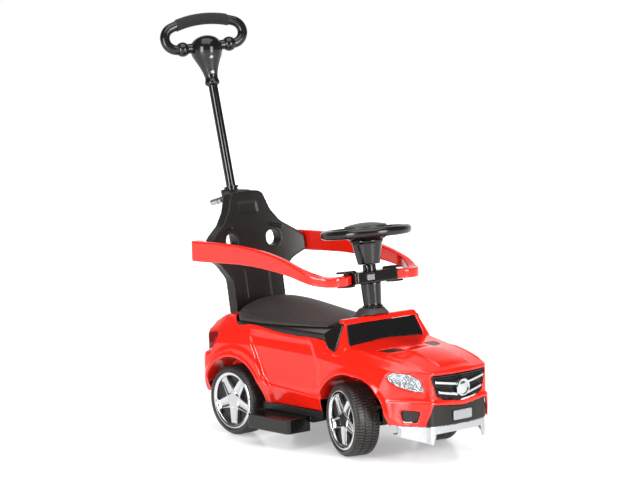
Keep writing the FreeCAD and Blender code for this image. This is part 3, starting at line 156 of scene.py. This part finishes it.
def addGrain(tree, shader, where, size, height, kind="ShaderNodeTexNoise"):
    # size is one grain across, height its depth, both in mm
    values = {"Scale": 1 / (size * mm)}
    if kind == "ShaderNodeTexNoise":
        values["Detail"] = 3.0
    grain = addNode(tree, kind, values=values, links={"Vector": where})
    bump = addNode(tree, "ShaderNodeBump", values={"Strength": 1.0, "Distance": height * mm},
                   links={"Height": grain.outputs[0]})
    tree.links.new(bump.outputs["Normal"], shader.inputs["Normal"])
    return grain


def addSpread(tree, shader, where, socket, size, low, high):
    # slow variation of a value or colour over patches of the given size in mm
    patch = addNode(tree, "ShaderNodeTexNoise", values={"Scale": 1 / (size * mm), "Detail": 2.0},
                    links={"Vector": where})
    if isinstance(low, str):
        blend = addNode(tree, "ShaderNodeMix", settings={"data_type": "RGBA"},
                        links={"Factor": patch.outputs[0]})
        blend.inputs[6].default_value = toLinear(low)
        blend.inputs[7].default_value = toLinear(high)
        tree.links.new(blend.outputs[2], shader.inputs[socket])
    else:
        blend = addNode(tree, "ShaderNodeMapRange", values={"To Min": low, "To Max": high},
                        links={"Value": patch.outputs[0]})
        tree.links.new(blend.outputs[0], shader.inputs[socket])


# moulded ABS, polished tool: deep gloss red with a faint orange-peel wave
redAbs, tree, shader, where = startMaterial("moulded_red_abs", IOR=1.54)
addSpread(tree, shader, where, "Base Color", 60, "EE1D0E", "F22413")
addSpread(tree, shader, where, "Roughness", 25, 0.08, 0.13)
addGrain(tree, shader, where, 9.0, 0.02)

# injection-moulded polypropylene: satin black with a spark-eroded grain, drawn at 1.4 mm so that it shows
blackPp, tree, shader, where = startMaterial("moulded_black_polypropylene", IOR=1.49, Specular_IOR_Level=0.4)
addSpread(tree, shader, where, "Base Color", 40, "1B1816", "231F1D")
addSpread(tree, shader, where, "Roughness", 12, 0.3, 0.4)
addGrain(tree, shader, where, 1.4, 0.04)

# the same resin from a polished tool: wet-looking black that mirrors the lamps
glossPp, tree, shader, where = startMaterial("polished_black_polypropylene", IOR=1.49)
addSpread(tree, shader, where, "Base Color", 40, "121110", "181615")
addSpread(tree, shader, where, "Roughness", 15, 0.12, 0.2)
addGrain(tree, shader, where, 6.0, 0.02)

# the same resin in dark grey: its satin grain shows more
greyPp, tree, shader, where = startMaterial("moulded_grey_polypropylene", IOR=1.49)
addSpread(tree, shader, where, "Base Color", 30, "3A3938", "444240")
addSpread(tree, shader, where, "Roughness", 12, 0.36, 0.48)
addGrain(tree, shader, where, 1.4, 0.04)

# seat moulding: warm black with a leather grain of about 2.5 mm cells
seatPp, tree, shader, where = startMaterial("leather_grained_polypropylene", IOR=1.49)
addSpread(tree, shader, where, "Base Color", 30, "2C2624", "38312E")
addSpread(tree, shader, where, "Roughness", 10, 0.46, 0.58)
addGrain(tree, shader, where, 2.5, 0.16, "ShaderNodeTexVoronoi")

# blow-moulded tyre: dull black with a dusty bloom in patches
tyrePe, tree, shader, where = startMaterial("moulded_polyethylene_tyre", IOR=1.5)
addSpread(tree, shader, where, "Base Color", 18, "282423", "353130")
addSpread(tree, shader, where, "Roughness", 9, 0.36, 0.5)
addGrain(tree, shader, where, 1.2, 0.05)

# electroplated ABS: mirror chrome with the slight waviness of the moulding under it
chromePlate, tree, shader, where = startMaterial("chrome_plated_abs", Base_Color="DADCDE", Metallic=1.0)
addSpread(tree, shader, where, "Roughness", 15, 0.05, 0.13)
addGrain(tree, shader, where, 14.0, 0.12)

# sprayed silver over plastic: soft metallic sheen with fine flake
silverPaint, tree, shader, where = startMaterial("silver_sprayed_plastic", Base_Color="C9CBCE", Metallic=0.85)
addSpread(tree, shader, where, "Roughness", 10, 0.18, 0.28)
addGrain(tree, shader, where, 1.0, 0.02)

# polished black polycarbonate: dark mirror-like panes
blackGlazing, tree, shader, where = startMaterial("polished_black_polycarbonate", IOR=1.585)
addSpread(tree, shader, where, "Base Color", 50, "0C0C0D", "141314")
addSpread(tree, shader, where, "Roughness", 30, 0.06, 0.12)
addGrain(tree, shader, where, 30.0, 0.1)

# clear acrylic lens: thin, bright and lightly rippled
clearLens, tree, shader, where = startMaterial("clear_acrylic_lens", Base_Color="F4F6F8", IOR=1.49,
                                               Roughness=0.03, Transmission_Weight=1.0)
addGrain(tree, shader, where, 9.0, 0.1)

# red acrylic lens: deep red with a wet gloss
redLens, tree, shader, where = startMaterial("red_acrylic_lens", IOR=1.49)
addSpread(tree, shader, where, "Base Color", 12, "6E0808", "8E0C0C")
addSpread(tree, shader, where, "Roughness", 12, 0.1, 0.2)
addGrain(tree, shader, where, 3.0, 0.08)

# blank plate, plain pale grey styrene
plateStyrene, tree, shader, where = startMaterial("grey_styrene_plate", IOR=1.55)
addSpread(tree, shader, where, "Base Color", 12, "A2A4A6", "AEB0B2")
addSpread(tree, shader, where, "Roughness", 8, 0.3, 0.4)
addGrain(tree, shader, where, 1.5, 0.02)

# light grey button, satin
buttonPp, tree, shader, where = startMaterial("grey_button_polypropylene", IOR=1.49)
addSpread(tree, shader, where, "Base Color", 10, "8C8E90", "989A9C")
addSpread(tree, shader, where, "Roughness", 8, 0.34, 0.44)
addGrain(tree, shader, where, 1.2, 0.03)

# expanded EVA foam: dry and matt, with cut cells near 1.5 mm
evaFoam, tree, shader, where = startMaterial("black_eva_foam", IOR=1.45, Sheen_Weight=0.15,
                                             Sheen_Roughness=0.5)
addSpread(tree, shader, where, "Base Color", 8, "171615", "211F1E")
addSpread(tree, shader, where, "Roughness", 5, 0.78, 0.92)
addGrain(tree, shader, where, 1.5, 0.2, "ShaderNodeTexVoronoi")

# stoved black enamel on drawn steel tube: hard gloss with a slight orange peel
enamel, tree, shader, where = startMaterial("black_stove_enamel", IOR=1.55)
addSpread(tree, shader, where, "Base Color", 50, "0C0C0C", "111111")
addSpread(tree, shader, where, "Roughness", 20, 0.1, 0.16)
addGrain(tree, shader, where, 5.0, 0.03)

# zinc-plated steel: grey metal with a cloudy passivated bloom
zincSteel, tree, shader, where = startMaterial("zinc_plated_steel", Metallic=1.0)
addSpread(tree, shader, where, "Base Color", 6, "B4B6B8", "CACCCE")
addSpread(tree, shader, where, "Roughness", 5, 0.2, 0.36)
addGrain(tree, shader, where, 0.9, 0.02)

slotMaterial = {
    "red_plastic": redAbs, "black_plastic": blackPp, "grey_plastic": greyPp, "seat_plastic": seatPp,
    "tyre_plastic": tyrePe, "chrome_plating": chromePlate, "silver_plastic": silverPaint,
    "dark_glazing": blackGlazing, "clear_lens": clearLens, "red_lens": redLens,
    "plate_plastic": plateStyrene, "button_plastic": buttonPp, "foam": evaFoam,
    "tube_steel": enamel, "bright_steel": zincSteel,
}
slotOf = {part["node"]: part["material_slot"] for part in frame["record"]["subparts"]}
glossNodes = ("column_housing", "rail_bracket", "sound_box", "steering_wheel", "handle_hub_front",
              "handle_hub_rear", "handle_ring", "handle_balls", "tube_bush", "side_trims", "footrest_left",
              "footrest_right")
materialOf = {name: glossPp if name in glossNodes else slotMaterial[slotOf[name]] for name in nodes}
for name, node in nodes.items():
    node.data.materials.clear()
    node.data.materials.append(materialOf[name])
print("materials:", len({material.name for material in materialOf.values()}))


# Moulded pieces with softened edges: voxel in mm, rounds of smoothing
softPieces = {
    "cockpit_deck": (2.4, 3), "dash_cowl": (1.8, 4),
    "guard_rail_left": (1.8, 4), "guard_rail_right": (1.8, 4), "rail_bracket": (1.5, 3),
    "column_housing": (1.5, 2), "sound_box": (1.5, 3), "steering_wheel": (1.6, 3), "horn_pad": (1.4, 3),
    "footrest_left": (1.6, 2), "footrest_right": (1.6, 2), "skid_plate": (1.5, 3),
    "handle_ring": (1.6, 2), "handle_hub_front": (1.4, 3), "handle_hub_rear": (1.4, 3),
    "handle_balls": (1.4, 1), "side_trims": (1.5, 3), "windscreen": (1.5, 1), "hood_vents": (1.2, 1),
    "tail_lamps": (1.2, 2), "lower_intake": (1.0, 0), "corner_intakes": (0.8, 0), "release_button": (0.8, 2),
    "number_plate": (1.0, 1), "wheel_cover_front_left": (1.1, 2), "wheel_cover_front_right": (1.1, 2),
    "wheel_cover_rear_left": (1.1, 2), "wheel_cover_rear_right": (1.1, 2),
}
for node, (voxel, rounds) in softPieces.items():
    piece = copyNode(node, node + "_moulding")
    soften(piece, voxel, rounds)
    finishPiece(piece, materialOf[node], [node])
print("softened mouldings:", len(softPieces))


# Body: the CAD skin, softened, with its fender flares, door hollow, sill line and hood creases pressed in.
# A pair of numbers is where a form fades in or out; an X behind the middle is given as a plus in tail and drop.
bodyForm = {
    "voxel": 1.7, "rounds": 7, "faceShare": 0.3,
    "plugAt": (120, 134.0, 213), "plugSize": (14, 3.2, 10),
    "tailRounds": 140, "tailBehind": (240, 260), "tailLow": (152, 168), "tailHigh": (180, 190),
    "tail": ([-315, -310, -299, -292, -288], [110, 130, 160, 182, 205]),   # rearmost X at heights Z
    "tailTop": 205, "tailDrop": 17.0, "dropBehind": (236, 296), "dropHigh": (214, 262),
    "flank": (96, 122),
    "flares": ((-173, 90, 110), (203, 80, 107)),                           # rear and front X, Z and radius
    "flareProud": 3.0, "flareEdge": 5.0,
    "lips": ((-181.5, 78, 106), (195.5, 78, 106), (225.5, 98, 84)),        # arch X, Z and lip radius
    "lipProud": 1.8, "lipEdge": 1.5,
    "doorRear": ([-64, -66, -86, -111, -137, -160], [84, 126, 145, 194, 236, 270]),   # X at heights Z
    "doorFront": ([118, 113, 101, 102, 84, 66], [84, 124, 155, 187, 213, 240]),
    "doorDeep": 6.5, "doorRearEdge": (-4, 7), "doorFrontEdge": (-6, 12), "doorTop": (224, 246),
    "sillStep": 3.0, "sillEdge": (-3, 4), "sillHigh": 126, "sillFrom": -60, "sillFall": 0.07,
    "bumperTop": 132.0, "bumperEdge": 2.5, "bumperProud": 3.4,
    "noseRear": (292, 318), "noseFront": (318, 352), "noseSide": (60, 100),
    "hoodRaise": 4.0, "hoodEdge": 1.6, "hoodHalf": ([46, 44, 42], [205, 250, 380]),   # half-width at X
    "hoodRear": (262, 300), "hoodFront": (372, 384), "hoodLow": (196, 206),
    "ridgeHigh": 2.0, "ridgeWide": 4.0, "ridgeY": ([103, 91, 76], [262, 340, 400]),   # fender edge at X
    "ridgeRear": (255, 285), "ridgeFront": (355, 375), "ridgeLow": (178, 190),
}


def shapeBody(points):
    f = bodyForm
    x, y, z = points.T
    flank = smoothStep(np.abs(y), *f["flank"])
    out = np.zeros(len(points))
    for cx, cz, radius in f["flares"]:
        away = np.hypot(x - cx, z - cz)
        out += f["flareProud"] * (1 - smoothStep(away, radius - f["flareEdge"], radius + f["flareEdge"]))
    lip = [1 - smoothStep(np.hypot(x - cx, z - cz), radius - f["lipEdge"], radius + f["lipEdge"])
           for cx, cz, radius in f["lips"]]
    out += f["lipProud"] * np.max(lip, axis=0)
    rearEdge = np.interp(z, f["doorRear"][1], f["doorRear"][0])
    frontEdge = np.interp(z, f["doorFront"][1], f["doorFront"][0])
    between = smoothStep(x - rearEdge, *f["doorRearEdge"]) * smoothStep(frontEdge - x, *f["doorFrontEdge"])
    sillLine = f["sillHigh"] - (x - f["sillFrom"]) * f["sillFall"]
    above = smoothStep(z - sillLine, *f["sillEdge"])
    below = 1 - smoothStep(z, *f["doorTop"])
    out -= between * below * (f["doorDeep"] * above + (f["doorDeep"] - f["sillStep"]) * (1 - above))
    y = y + np.sign(y) * out * flank
    nose = smoothStep(x, *f["noseRear"])
    nose = nose * (1 - smoothStep(z, f["bumperTop"] - f["bumperEdge"], f["bumperTop"] + f["bumperEdge"]))
    x = x + f["bumperProud"] * nose * smoothStep(x, *f["noseFront"])
    y = y + np.sign(y) * f["bumperProud"] * nose * smoothStep(np.abs(y), *f["noseSide"])
    x = np.where(z < f["tailTop"], np.maximum(x, np.interp(z, f["tail"][1], f["tail"][0])), x)
    z = z - f["tailDrop"] * smoothStep(-x, *f["dropBehind"]) * smoothStep(z, *f["dropHigh"])
    half = np.interp(x, f["hoodHalf"][1], f["hoodHalf"][0])
    hood = smoothStep(x, *f["hoodRear"]) * (1 - smoothStep(x, *f["hoodFront"])) * smoothStep(z, *f["hoodLow"])
    z = z + f["hoodRaise"] * hood * (1 - smoothStep(np.abs(y) - half, -f["hoodEdge"], f["hoodEdge"]))
    edge = np.interp(x, f["ridgeY"][1], f["ridgeY"][0])
    ridge = f["ridgeHigh"] * np.exp(-((np.abs(y) - edge) / f["ridgeWide"]) ** 2)
    ridge = ridge * smoothStep(x, *f["ridgeRear"]) * (1 - smoothStep(x, *f["ridgeFront"]))
    z = z + ridge * smoothStep(z, *f["ridgeLow"])
    return np.stack((x, y, z), axis=1)


body = copyNode("body_shell", "body_panels")
# a small pad behind each cowl foot keeps the skin closed there
for side in (1, -1):
    x, y, z = bodyForm["plugAt"]
    bpy.ops.mesh.primitive_cube_add(size=1, location=Vector((midX + x, side * y, z)) * mm,
                                    scale=Vector(bodyForm["plugSize"]) * mm)
    body.select_set(True)
    bpy.context.view_layer.objects.active = body
    bpy.ops.object.join()
soften(body, bodyForm["voxel"], bodyForm["rounds"])
# the top of the rear bumper block is blended into the flank
x, y, z = readPoints(body).T
blend = smoothStep(-x, *bodyForm["tailBehind"]) * smoothStep(z, *bodyForm["tailLow"])
blend = blend * (1 - smoothStep(z, *bodyForm["tailHigh"]))
group = body.vertex_groups.new(name="tailBlend")
for index in np.flatnonzero(blend > 0.01):
    group.add([int(index)], float(blend[index]), "REPLACE")
applyModifier(body, "SMOOTH", factor=0.5, iterations=bodyForm["tailRounds"], vertex_group="tailBlend")
body.vertex_groups.clear()
pushPoints(body, shapeBody)
applyModifier(body, "DECIMATE", ratio=bodyForm["faceShare"])
makeActive(body)
bpy.ops.object.shade_smooth()
finishPiece(body, redAbs, ["body_shell"])
print("body faces:", len(body.data.polygons))


# Backrest: softened, with two upright creases low down
backForm = {"voxel": 2.0, "rounds": 5, "faceX": -262, "faceZ": 262, "lean": 0.158, "faceDeep": 12,
            "creaseY": 34.0, "creaseLow": 292.0, "creaseHigh": 348.0, "lowFade": 6, "highFade": 8,
            "creaseWide": 2.6, "creaseDeep": 2.2}


def shapeBack(points):
    f = backForm
    x, y, z = points.T
    face = f["faceX"] - (z - f["faceZ"]) * f["lean"]
    front = smoothStep(x, face - f["faceDeep"], face)
    tall = smoothStep(z, f["creaseLow"] - f["lowFade"], f["creaseLow"])
    tall = tall * (1 - smoothStep(z, f["creaseHigh"], f["creaseHigh"] + f["highFade"]))
    groove = np.exp(-((np.abs(y) - f["creaseY"]) / f["creaseWide"]) ** 2)
    x = x - f["creaseDeep"] * groove * tall * front
    return np.stack((x, y, z), axis=1)


backPiece = copyNode("backrest", "backrest_moulding")
soften(backPiece, backForm["voxel"], backForm["rounds"])
pushPoints(backPiece, shapeBack)
finishPiece(backPiece, blackPp, ["backrest"])


# Seat: softened saddle with a seam line pressed in round its pad
seatForm = {"voxel": 1.9, "rounds": 6, "seamIn": 15.0, "seamWide": 2.2, "seamDeep": 1.6, "rearX": -238,
            "rearSlope": 1.2, "topFrom": (258, 262),
            "edge": ([-238, -200, -112, -45, 5, 56], [84, 112, 119, 108, 90, 66])}   # X and half-width


def shapeSeat(points):
    f = seatForm
    x, y, z = points.T
    half = np.interp(x, *f["edge"])
    inward = np.minimum(half - np.abs(y), (x - f["rearX"]) * f["rearSlope"])
    top = smoothStep(z, *f["topFrom"])
    z = z - f["seamDeep"] * np.exp(-((inward - f["seamIn"]) / f["seamWide"]) ** 2) * top
    return np.stack((x, y, z), axis=1)


seat = copyNode("seat_lid", "seat_saddle")
soften(seat, seatForm["voxel"], seatForm["rounds"])
pushPoints(seat, shapeSeat)
finishPiece(seat, seatPp, ["seat_lid"])
print("backrest and seat shaped")


# Headlight bowls: the reflector cups with two dished bowls and pyramid facets pressed into their floors
lampForm = {"voxel": 1.1, "ahead": (386, 82), "behind": (312, 126), "floorFade": (16.0, 22.0), "dish": 9.0,
            "bowls": ((-8, 170, 17), (24, 176, 15)), "bowlReach": 1.2,     # place along, Z and radius
            "facet": 7.0, "facetHigh": 1.5, "sharpAngle": 20}


def shapeLamps(points):
    f = lampForm
    ahead, behind = np.array(f["ahead"], float), np.array(f["behind"], float)
    along = (behind - ahead) / np.linalg.norm(behind - ahead)
    x, y, z = points.T
    fromMiddle = np.stack((x, np.abs(y)), axis=1) - (ahead + behind) / 2
    run = fromMiddle @ along
    depth = fromMiddle @ np.array((-along[1], along[0]))
    bowl = np.min([((run - s) ** 2 + (z - h) ** 2) / r ** 2 for s, h, r in f["bowls"]], axis=0)
    first = np.abs((run / f["facet"] + z / f["facet"]) % 1 - 0.5)
    second = np.abs((run / f["facet"] - z / f["facet"]) % 1 - 0.5)
    rise = f["dish"] * np.minimum(bowl, f["bowlReach"]) + f["facetHigh"] * 2 * (first + second)
    rise = rise * smoothStep(np.abs(depth), *f["floorFade"])
    outward = np.array((-along[1], along[0])) * np.sign(np.median(depth)) * -1
    return points + np.stack((outward[0] * rise, outward[1] * rise * np.sign(y), 0 * z), axis=1)


lamps = copyNode("headlight_reflectors", "headlight_bowls")
soften(lamps, lampForm["voxel"], 0)
pushPoints(lamps, shapeLamps)
makeActive(lamps)
bpy.ops.object.shade_smooth_by_angle(angle=math.radians(lampForm["sharpAngle"]))
finishPiece(lamps, chromePlate, ["headlight_reflectors"])


# Grille: fine level fins pressed into the insert
grilleForm = {"voxel": 1.0, "rounds": 1, "pitch": 5.0, "deep": 1.8}


def shapeGrille(points):
    x, y, z = points.T
    wave = 0.5 + 0.5 * np.cos(2 * math.pi * z / grilleForm["pitch"])
    return np.stack((x - grilleForm["deep"] * wave, y, z), axis=1)


grille = copyNode("grille_insert", "grille_fins")
soften(grille, grilleForm["voxel"], grilleForm["rounds"])
pushPoints(grille, shapeGrille)
finishPiece(grille, glossPp, ["grille_insert"])


# Grille bars: softened, the middle of the lower one tucked up behind the badge
barForm = {"voxel": 0.8, "rounds": 1, "tuckUp": 5, "tuckHalf": (12, 15), "tuckBelow": (139, 143)}


def shapeBars(points):
    f = barForm
    x, y, z = points.T
    z = z + f["tuckUp"] * (1 - smoothStep(np.abs(y), *f["tuckHalf"])) * (1 - smoothStep(z, *f["tuckBelow"]))
    return np.stack((x, y, z), axis=1)


bars = copyNode("grille_bars", "grille_strips")
soften(bars, barForm["voxel"], barForm["rounds"])
pushPoints(bars, shapeBars)
finishPiece(bars, slotMaterial[slotOf["grille_bars"]], ["grille_bars"])
print("headlights and grille shaped")


# Foam grip: a thick sleeve with flared, rolled ends
gripForm = {"voxel": 1.2, "rounds": 4, "fill": 0.9}
grip = copyNode("foam_grip", "foam_sleeve")
soften(grip, gripForm["voxel"], gripForm["rounds"])
finishPiece(grip, evaFoam, ["foam_grip"])


def addProfile(name, points):
    # a closed ring of edges in the XZ plane, r along X
    mesh = bpy.data.meshes.new(name)
    count = len(points)
    edges = [(i, (i + 1) % count) for i in range(count)]
    mesh.from_pydata([(r * mm, 0, z * mm) for r, z in points], edges, [])
    piece = bpy.data.objects.new(name, mesh)
    scene.collection.objects.link(piece)
    return piece


def spinPiece(piece, steps):
    makeActive(piece)
    bpy.ops.object.mode_set(mode="EDIT")
    bpy.ops.mesh.select_all(action="SELECT")
    bpy.ops.mesh.spin(steps=steps, angle=2 * math.pi, center=(0, 0, 0), axis=(0, 0, 1))
    bpy.ops.mesh.select_all(action="SELECT")
    bpy.ops.mesh.remove_doubles(threshold=0.01 * mm)
    bpy.ops.mesh.normals_make_consistent(inside=False)
    bpy.ops.object.mode_set(mode="OBJECT")


# Badge: plain, a raised outer ring, a groove and a shallow dome; ring and groove are shares of the radius
badgeForm = {"ring": 0.78, "groove": 0.7, "grooveDeep": 2.2, "domeRise": 1.4, "domeSteps": 6, "outerEdge": 1.2,
             "innerEdge": 0.8, "steps": 64, "sharpAngle": 30}
corners = np.array([list(vertex.co) for vertex in nodes["badge_disc"].data.vertices]) / mm
low, high = corners.min(axis=0), corners.max(axis=0)
radius, thick = (high[2] - low[2]) / 2, high[0] - low[0]
floorUp = thick - badgeForm["grooveDeep"]
ringIn, grooveIn = badgeForm["ring"] * radius, badgeForm["groove"] * radius
outerEdge, innerEdge, domeSteps = (badgeForm[k] for k in ("outerEdge", "innerEdge", "domeSteps"))
dome = [(grooveIn * k / domeSteps, floorUp + badgeForm["domeRise"] * (1 - (k / domeSteps) ** 2))
        for k in range(domeSteps, -1, -1)]
badge = addProfile("ringed_badge", [(0, 0), (radius, 0), (radius, thick - outerEdge), (radius - outerEdge, thick),
                                    (ringIn + innerEdge, thick), (ringIn, thick - innerEdge), (ringIn, floorUp),
                                    *dome])
spinPiece(badge, badgeForm["steps"])
badge.data.transform(Matrix.Translation(Vector((low[0], 0, (low[2] + high[2]) / 2)) * mm)
                     @ Matrix.Rotation(math.radians(90), 4, "Y"))
makeActive(badge)
bpy.ops.object.shade_smooth_by_angle(angle=math.radians(badgeForm["sharpAngle"]))
finishPiece(badge, slotMaterial[slotOf["badge_disc"]], ["badge_disc"])


# Wheels: modelled once about Z with the outer side up, then copied to the axles
wheel = {"radius": 78.0, "half": 29.0, "round": 11.0, "roundSteps": 5, "coverSeat": 65.15, "seatDrop": 2.5,
         "seatEdge": 1.0, "cavity": 58.0, "cavityEdge": 4.0, "webIn": 5.0, "webOut": 10.0, "hub": 16.0,
         "hubIn": -3.0, "bore": 5.05, "axleX": 188.5, "midY": 117.0, "kingpinY": 102.0, "steer": -16.0,
         "sharpAngle": 32,
         # tread: blocks round the tyre, faces and groove share of each, the two ring grooves and all depths
         "blocks": 72, "blockFaces": 6, "blockShare": 0.7, "grooveDepth": 2.4, "ringIn": 7.5, "ringOut": 9.5,
         "shoulderReach": 4.2, "crownReach": 1.0}


def buildTyre(name):
    w = wheel
    crown, half, bend, ringIn, ringOut = (w[k] for k in ("radius", "half", "round", "ringIn", "ringOut"))
    angles = [math.radians(90 * k / w["roundSteps"]) for k in range(w["roundSteps"] + 1)]
    shoulder = [(crown - bend + bend * math.sin(a), half - bend + bend * math.cos(a)) for a in angles]
    tread = [(crown, z) for z in (ringOut, ringIn, 0.0, -ringIn, -ringOut)]
    inner = [(r, -z) for r, z in reversed(shoulder)]
    sidewall = [(w["coverSeat"], w["webOut"]), (w["coverSeat"], half - w["seatDrop"]),
                (w["coverSeat"] + w["seatEdge"], half - w["seatEdge"])]
    hollow = [(w["cavity"] + w["cavityEdge"], -half), (w["cavity"], w["cavityEdge"] - half),
              (w["cavity"], w["webIn"]), (w["hub"], w["webIn"]), (w["hub"], w["hubIn"]), (w["bore"], w["hubIn"]),
              (w["bore"], w["webOut"])]
    piece = addProfile(name, sidewall + shoulder + tread + inner + hollow)
    spinPiece(piece, w["blocks"] * w["blockFaces"])
    pitch = 2 * math.pi / w["blocks"]
    bpy.ops.object.mode_set(mode="EDIT")
    bpy.ops.mesh.select_mode(type="FACE")
    bpy.ops.mesh.select_all(action="DESELECT")
    bpy.ops.object.mode_set(mode="OBJECT")
    for face in piece.data.polygons:
        x, y, z = face.center / mm
        shift = 0.5 if abs(z) < ringIn else 0.0      # the middle blocks are staggered
        phase = (math.atan2(y, x) / pitch + shift) % 1.0
        reach = w["shoulderReach"] if abs(z) > ringOut else w["crownReach"]
        onTread = math.hypot(x, y) > crown - reach
        face.select = onTread and (ringIn < abs(z) < ringOut or phase > w["blockShare"])
    bpy.ops.object.mode_set(mode="EDIT")
    bpy.ops.mesh.extrude_region_move()
    bpy.ops.transform.shrink_fatten(value=-w["grooveDepth"] * mm)
    bpy.ops.mesh.select_all(action="SELECT")
    bpy.ops.mesh.normals_make_consistent(inside=False)
    bpy.ops.object.mode_set(mode="OBJECT")
    return piece


def setWheel(piece, along, side):
    # side is 1 on the car's left, -1 on its right; along is 1 in front
    w = wheel
    place = Matrix.Translation(Vector((midX + along * w["axleX"], side * w["midY"], w["radius"])) * mm)
    place = place @ Matrix.Rotation(math.radians(-90 * side), 4, "X")
    if along > 0:
        pin = Vector((midX + w["axleX"], side * w["kingpinY"], 0)) * mm
        swing = Matrix.Rotation(math.radians(w["steer"]), 4, "Z")
        place = Matrix.Translation(pin) @ swing @ Matrix.Translation(-pin) @ place
    piece.data.transform(place)


tyreModel = buildTyre("tyre_model")
for end, along in (("front", 1), ("rear", -1)):
    for hand, side in (("left", 1), ("right", -1)):
        piece = bpy.data.objects.new("treaded_tyre_" + end + "_" + hand, tyreModel.data.copy())
        scene.collection.objects.link(piece)
        setWheel(piece, along, side)
        makeActive(piece)
        bpy.ops.object.shade_smooth_by_angle(angle=math.radians(wheel["sharpAngle"]))
        finishPiece(piece, tyrePe, ["tyre_" + end + "_" + hand])
bpy.data.objects.remove(tyreModel)
print("tyres built")


# Stage: pale floor, studio light, the photograph's camera
stage = {"floorSize": 60.0, "floorColour": "F4F4F4", "liftNear": 0.34, "liftFar": 1.0, "near": 0.9, "far": 3.0,
         # sky: strength behind the object, round the camera and share overhead, with where each fades
         "skyBack": 1.0, "skyFront": 0.16, "skyTop": 0.6, "skyAzimuth": 48.9, "backFade": (-0.88, -0.45),
         "topFade": (0.25, 0.7), "boxHeight": 0.3,
         # softboxes: name, azimuth, elevation, distance m, width m, height m, radiance
         "boxes": (("left", 10, 14, 2.5, 0.8, 1.5, 12.0), ("right", 90, 14, 2.5, 0.8, 1.5, 12.0),
                   ("top", 40, 78, 2.6, 2.4, 2.4, 2.6))}
bpy.ops.object.select_all(action="DESELECT")
bpy.ops.mesh.primitive_plane_add(size=stage["floorSize"], location=(0, 0, 0))
floor = bpy.context.object
floor.name = "studio_floor"
floorPaper, tree, shader, where = startMaterial("studio_paper", Base_Color=stage["floorColour"],
                                                Roughness=0.2, Specular_IOR_Level=0.2, Emission_Color="FFFFFF")
floorRay = addNode(tree, "ShaderNodeLightPath")
seen = addNode(tree, "ShaderNodeMath", settings={"operation": "MAXIMUM"},
               links={0: floorRay.outputs["Is Camera Ray"], 1: floorRay.outputs["Is Glossy Ray"]})
seen = addNode(tree, "ShaderNodeMath", settings={"operation": "MAXIMUM"},
               links={0: seen.outputs[0], 1: floorRay.outputs["Is Transmission Ray"]})
# the paper is lit less far away, so it is lifted more there
away = addNode(tree, "ShaderNodeVectorMath", settings={"operation": "LENGTH"}, links={0: where})
farther = addNode(tree, "ShaderNodeMapRange", links={"Value": away.outputs["Value"]},
                  values={"From Min": stage["near"], "From Max": stage["far"], "To Min": stage["liftNear"],
                          "To Max": stage["liftFar"]})
lift = addNode(tree, "ShaderNodeMath", settings={"operation": "MULTIPLY"},
               links={0: seen.outputs[0], 1: farther.outputs[0]})
tree.links.new(lift.outputs[0], shader.inputs["Emission Strength"])
floor.data.materials.append(floorPaper)

world = bpy.data.worlds.new("studio")
scene.world = world
world.use_nodes = True
tree = world.node_tree
skyPlace = addNode(tree, "ShaderNodeTexCoord")
a = math.radians(stage["skyAzimuth"])
towards = (math.sin(a), -math.cos(a), 0.0)
skySide = addNode(tree, "ShaderNodeVectorMath", settings={"operation": "DOT_PRODUCT"}, values={1: towards},
                  links={0: skyPlace.outputs["Generated"]})
skyFade = addNode(tree, "ShaderNodeMapRange", links={"Value": skySide.outputs["Value"]},
                  values={"From Min": stage["backFade"][0], "From Max": stage["backFade"][1],
                          "To Min": stage["skyBack"], "To Max": stage["skyFront"]})
skyHeight = addNode(tree, "ShaderNodeSeparateXYZ", links={0: skyPlace.outputs["Generated"]})
skyTop = addNode(tree, "ShaderNodeMapRange", links={"Value": skyHeight.outputs["Z"]},
                 values={"From Min": stage["topFade"][0], "From Max": stage["topFade"][1], "To Min": 1.0,
                         "To Max": stage["skyTop"]})
skyLight = addNode(tree, "ShaderNodeMath", settings={"operation": "MULTIPLY"},
                   links={0: skyFade.outputs[0], 1: skyTop.outputs[0]})
tree.links.new(skyLight.outputs[0], tree.nodes["Background"].inputs["Strength"])
tree.nodes["Background"].inputs["Color"].default_value = (1, 1, 1, 1)

for name, azimuth, elevation, distance, width, height, radiance in stage["boxes"]:
    a, e = math.radians(azimuth), math.radians(elevation)
    towards = Vector((math.sin(a) * math.cos(e), -math.cos(a) * math.cos(e), math.sin(e)))
    bpy.ops.object.light_add(type="AREA", location=towards * distance + Vector((0, 0, stage["boxHeight"])))
    lamp = bpy.context.object
    lamp.name = name + "_softbox"
    lamp.rotation_euler = towards.to_track_quat("Z", "Y").to_euler()
    lamp.data.shape = "RECTANGLE"
    lamp.data.size, lamp.data.size_y = width, height
    lamp.data.energy = radiance * math.pi * width * height

# camera solved from the photograph; target and distance in mm
view = {"target": (-0.85, 0.0, 433.6), "azimuth": 48.92, "elevation": 6.07, "distance": 4853.0, "roll": -1.58,
        "focalPixels": 2200.4, "imageWidth": 640}
a, e, r = (math.radians(view[k]) for k in ("azimuth", "elevation", "roll"))
back = Vector((math.sin(a) * math.cos(e), -math.cos(a) * math.cos(e), math.sin(e)))
right = Vector((math.cos(a), math.sin(a), 0))
up = back.cross(right)
turnedRight = right * math.cos(r) + up * math.sin(r)
turnedUp = up * math.cos(r) - right * math.sin(r)
cameraData = bpy.data.cameras.new("photo_camera")
cameraData.sensor_width = 36.0
cameraData.lens = view["focalPixels"] / view["imageWidth"] * cameraData.sensor_width
camera = bpy.data.objects.new("photo_camera", cameraData)
scene.collection.objects.link(camera)
place = Matrix((turnedRight, turnedUp, back)).transposed().to_4x4()
place.translation = (Vector(view["target"]) + back * view["distance"]) * mm
camera.matrix_world = place
scene.camera = camera
scene.view_settings.view_transform = "Standard"
print("stage and camera set")
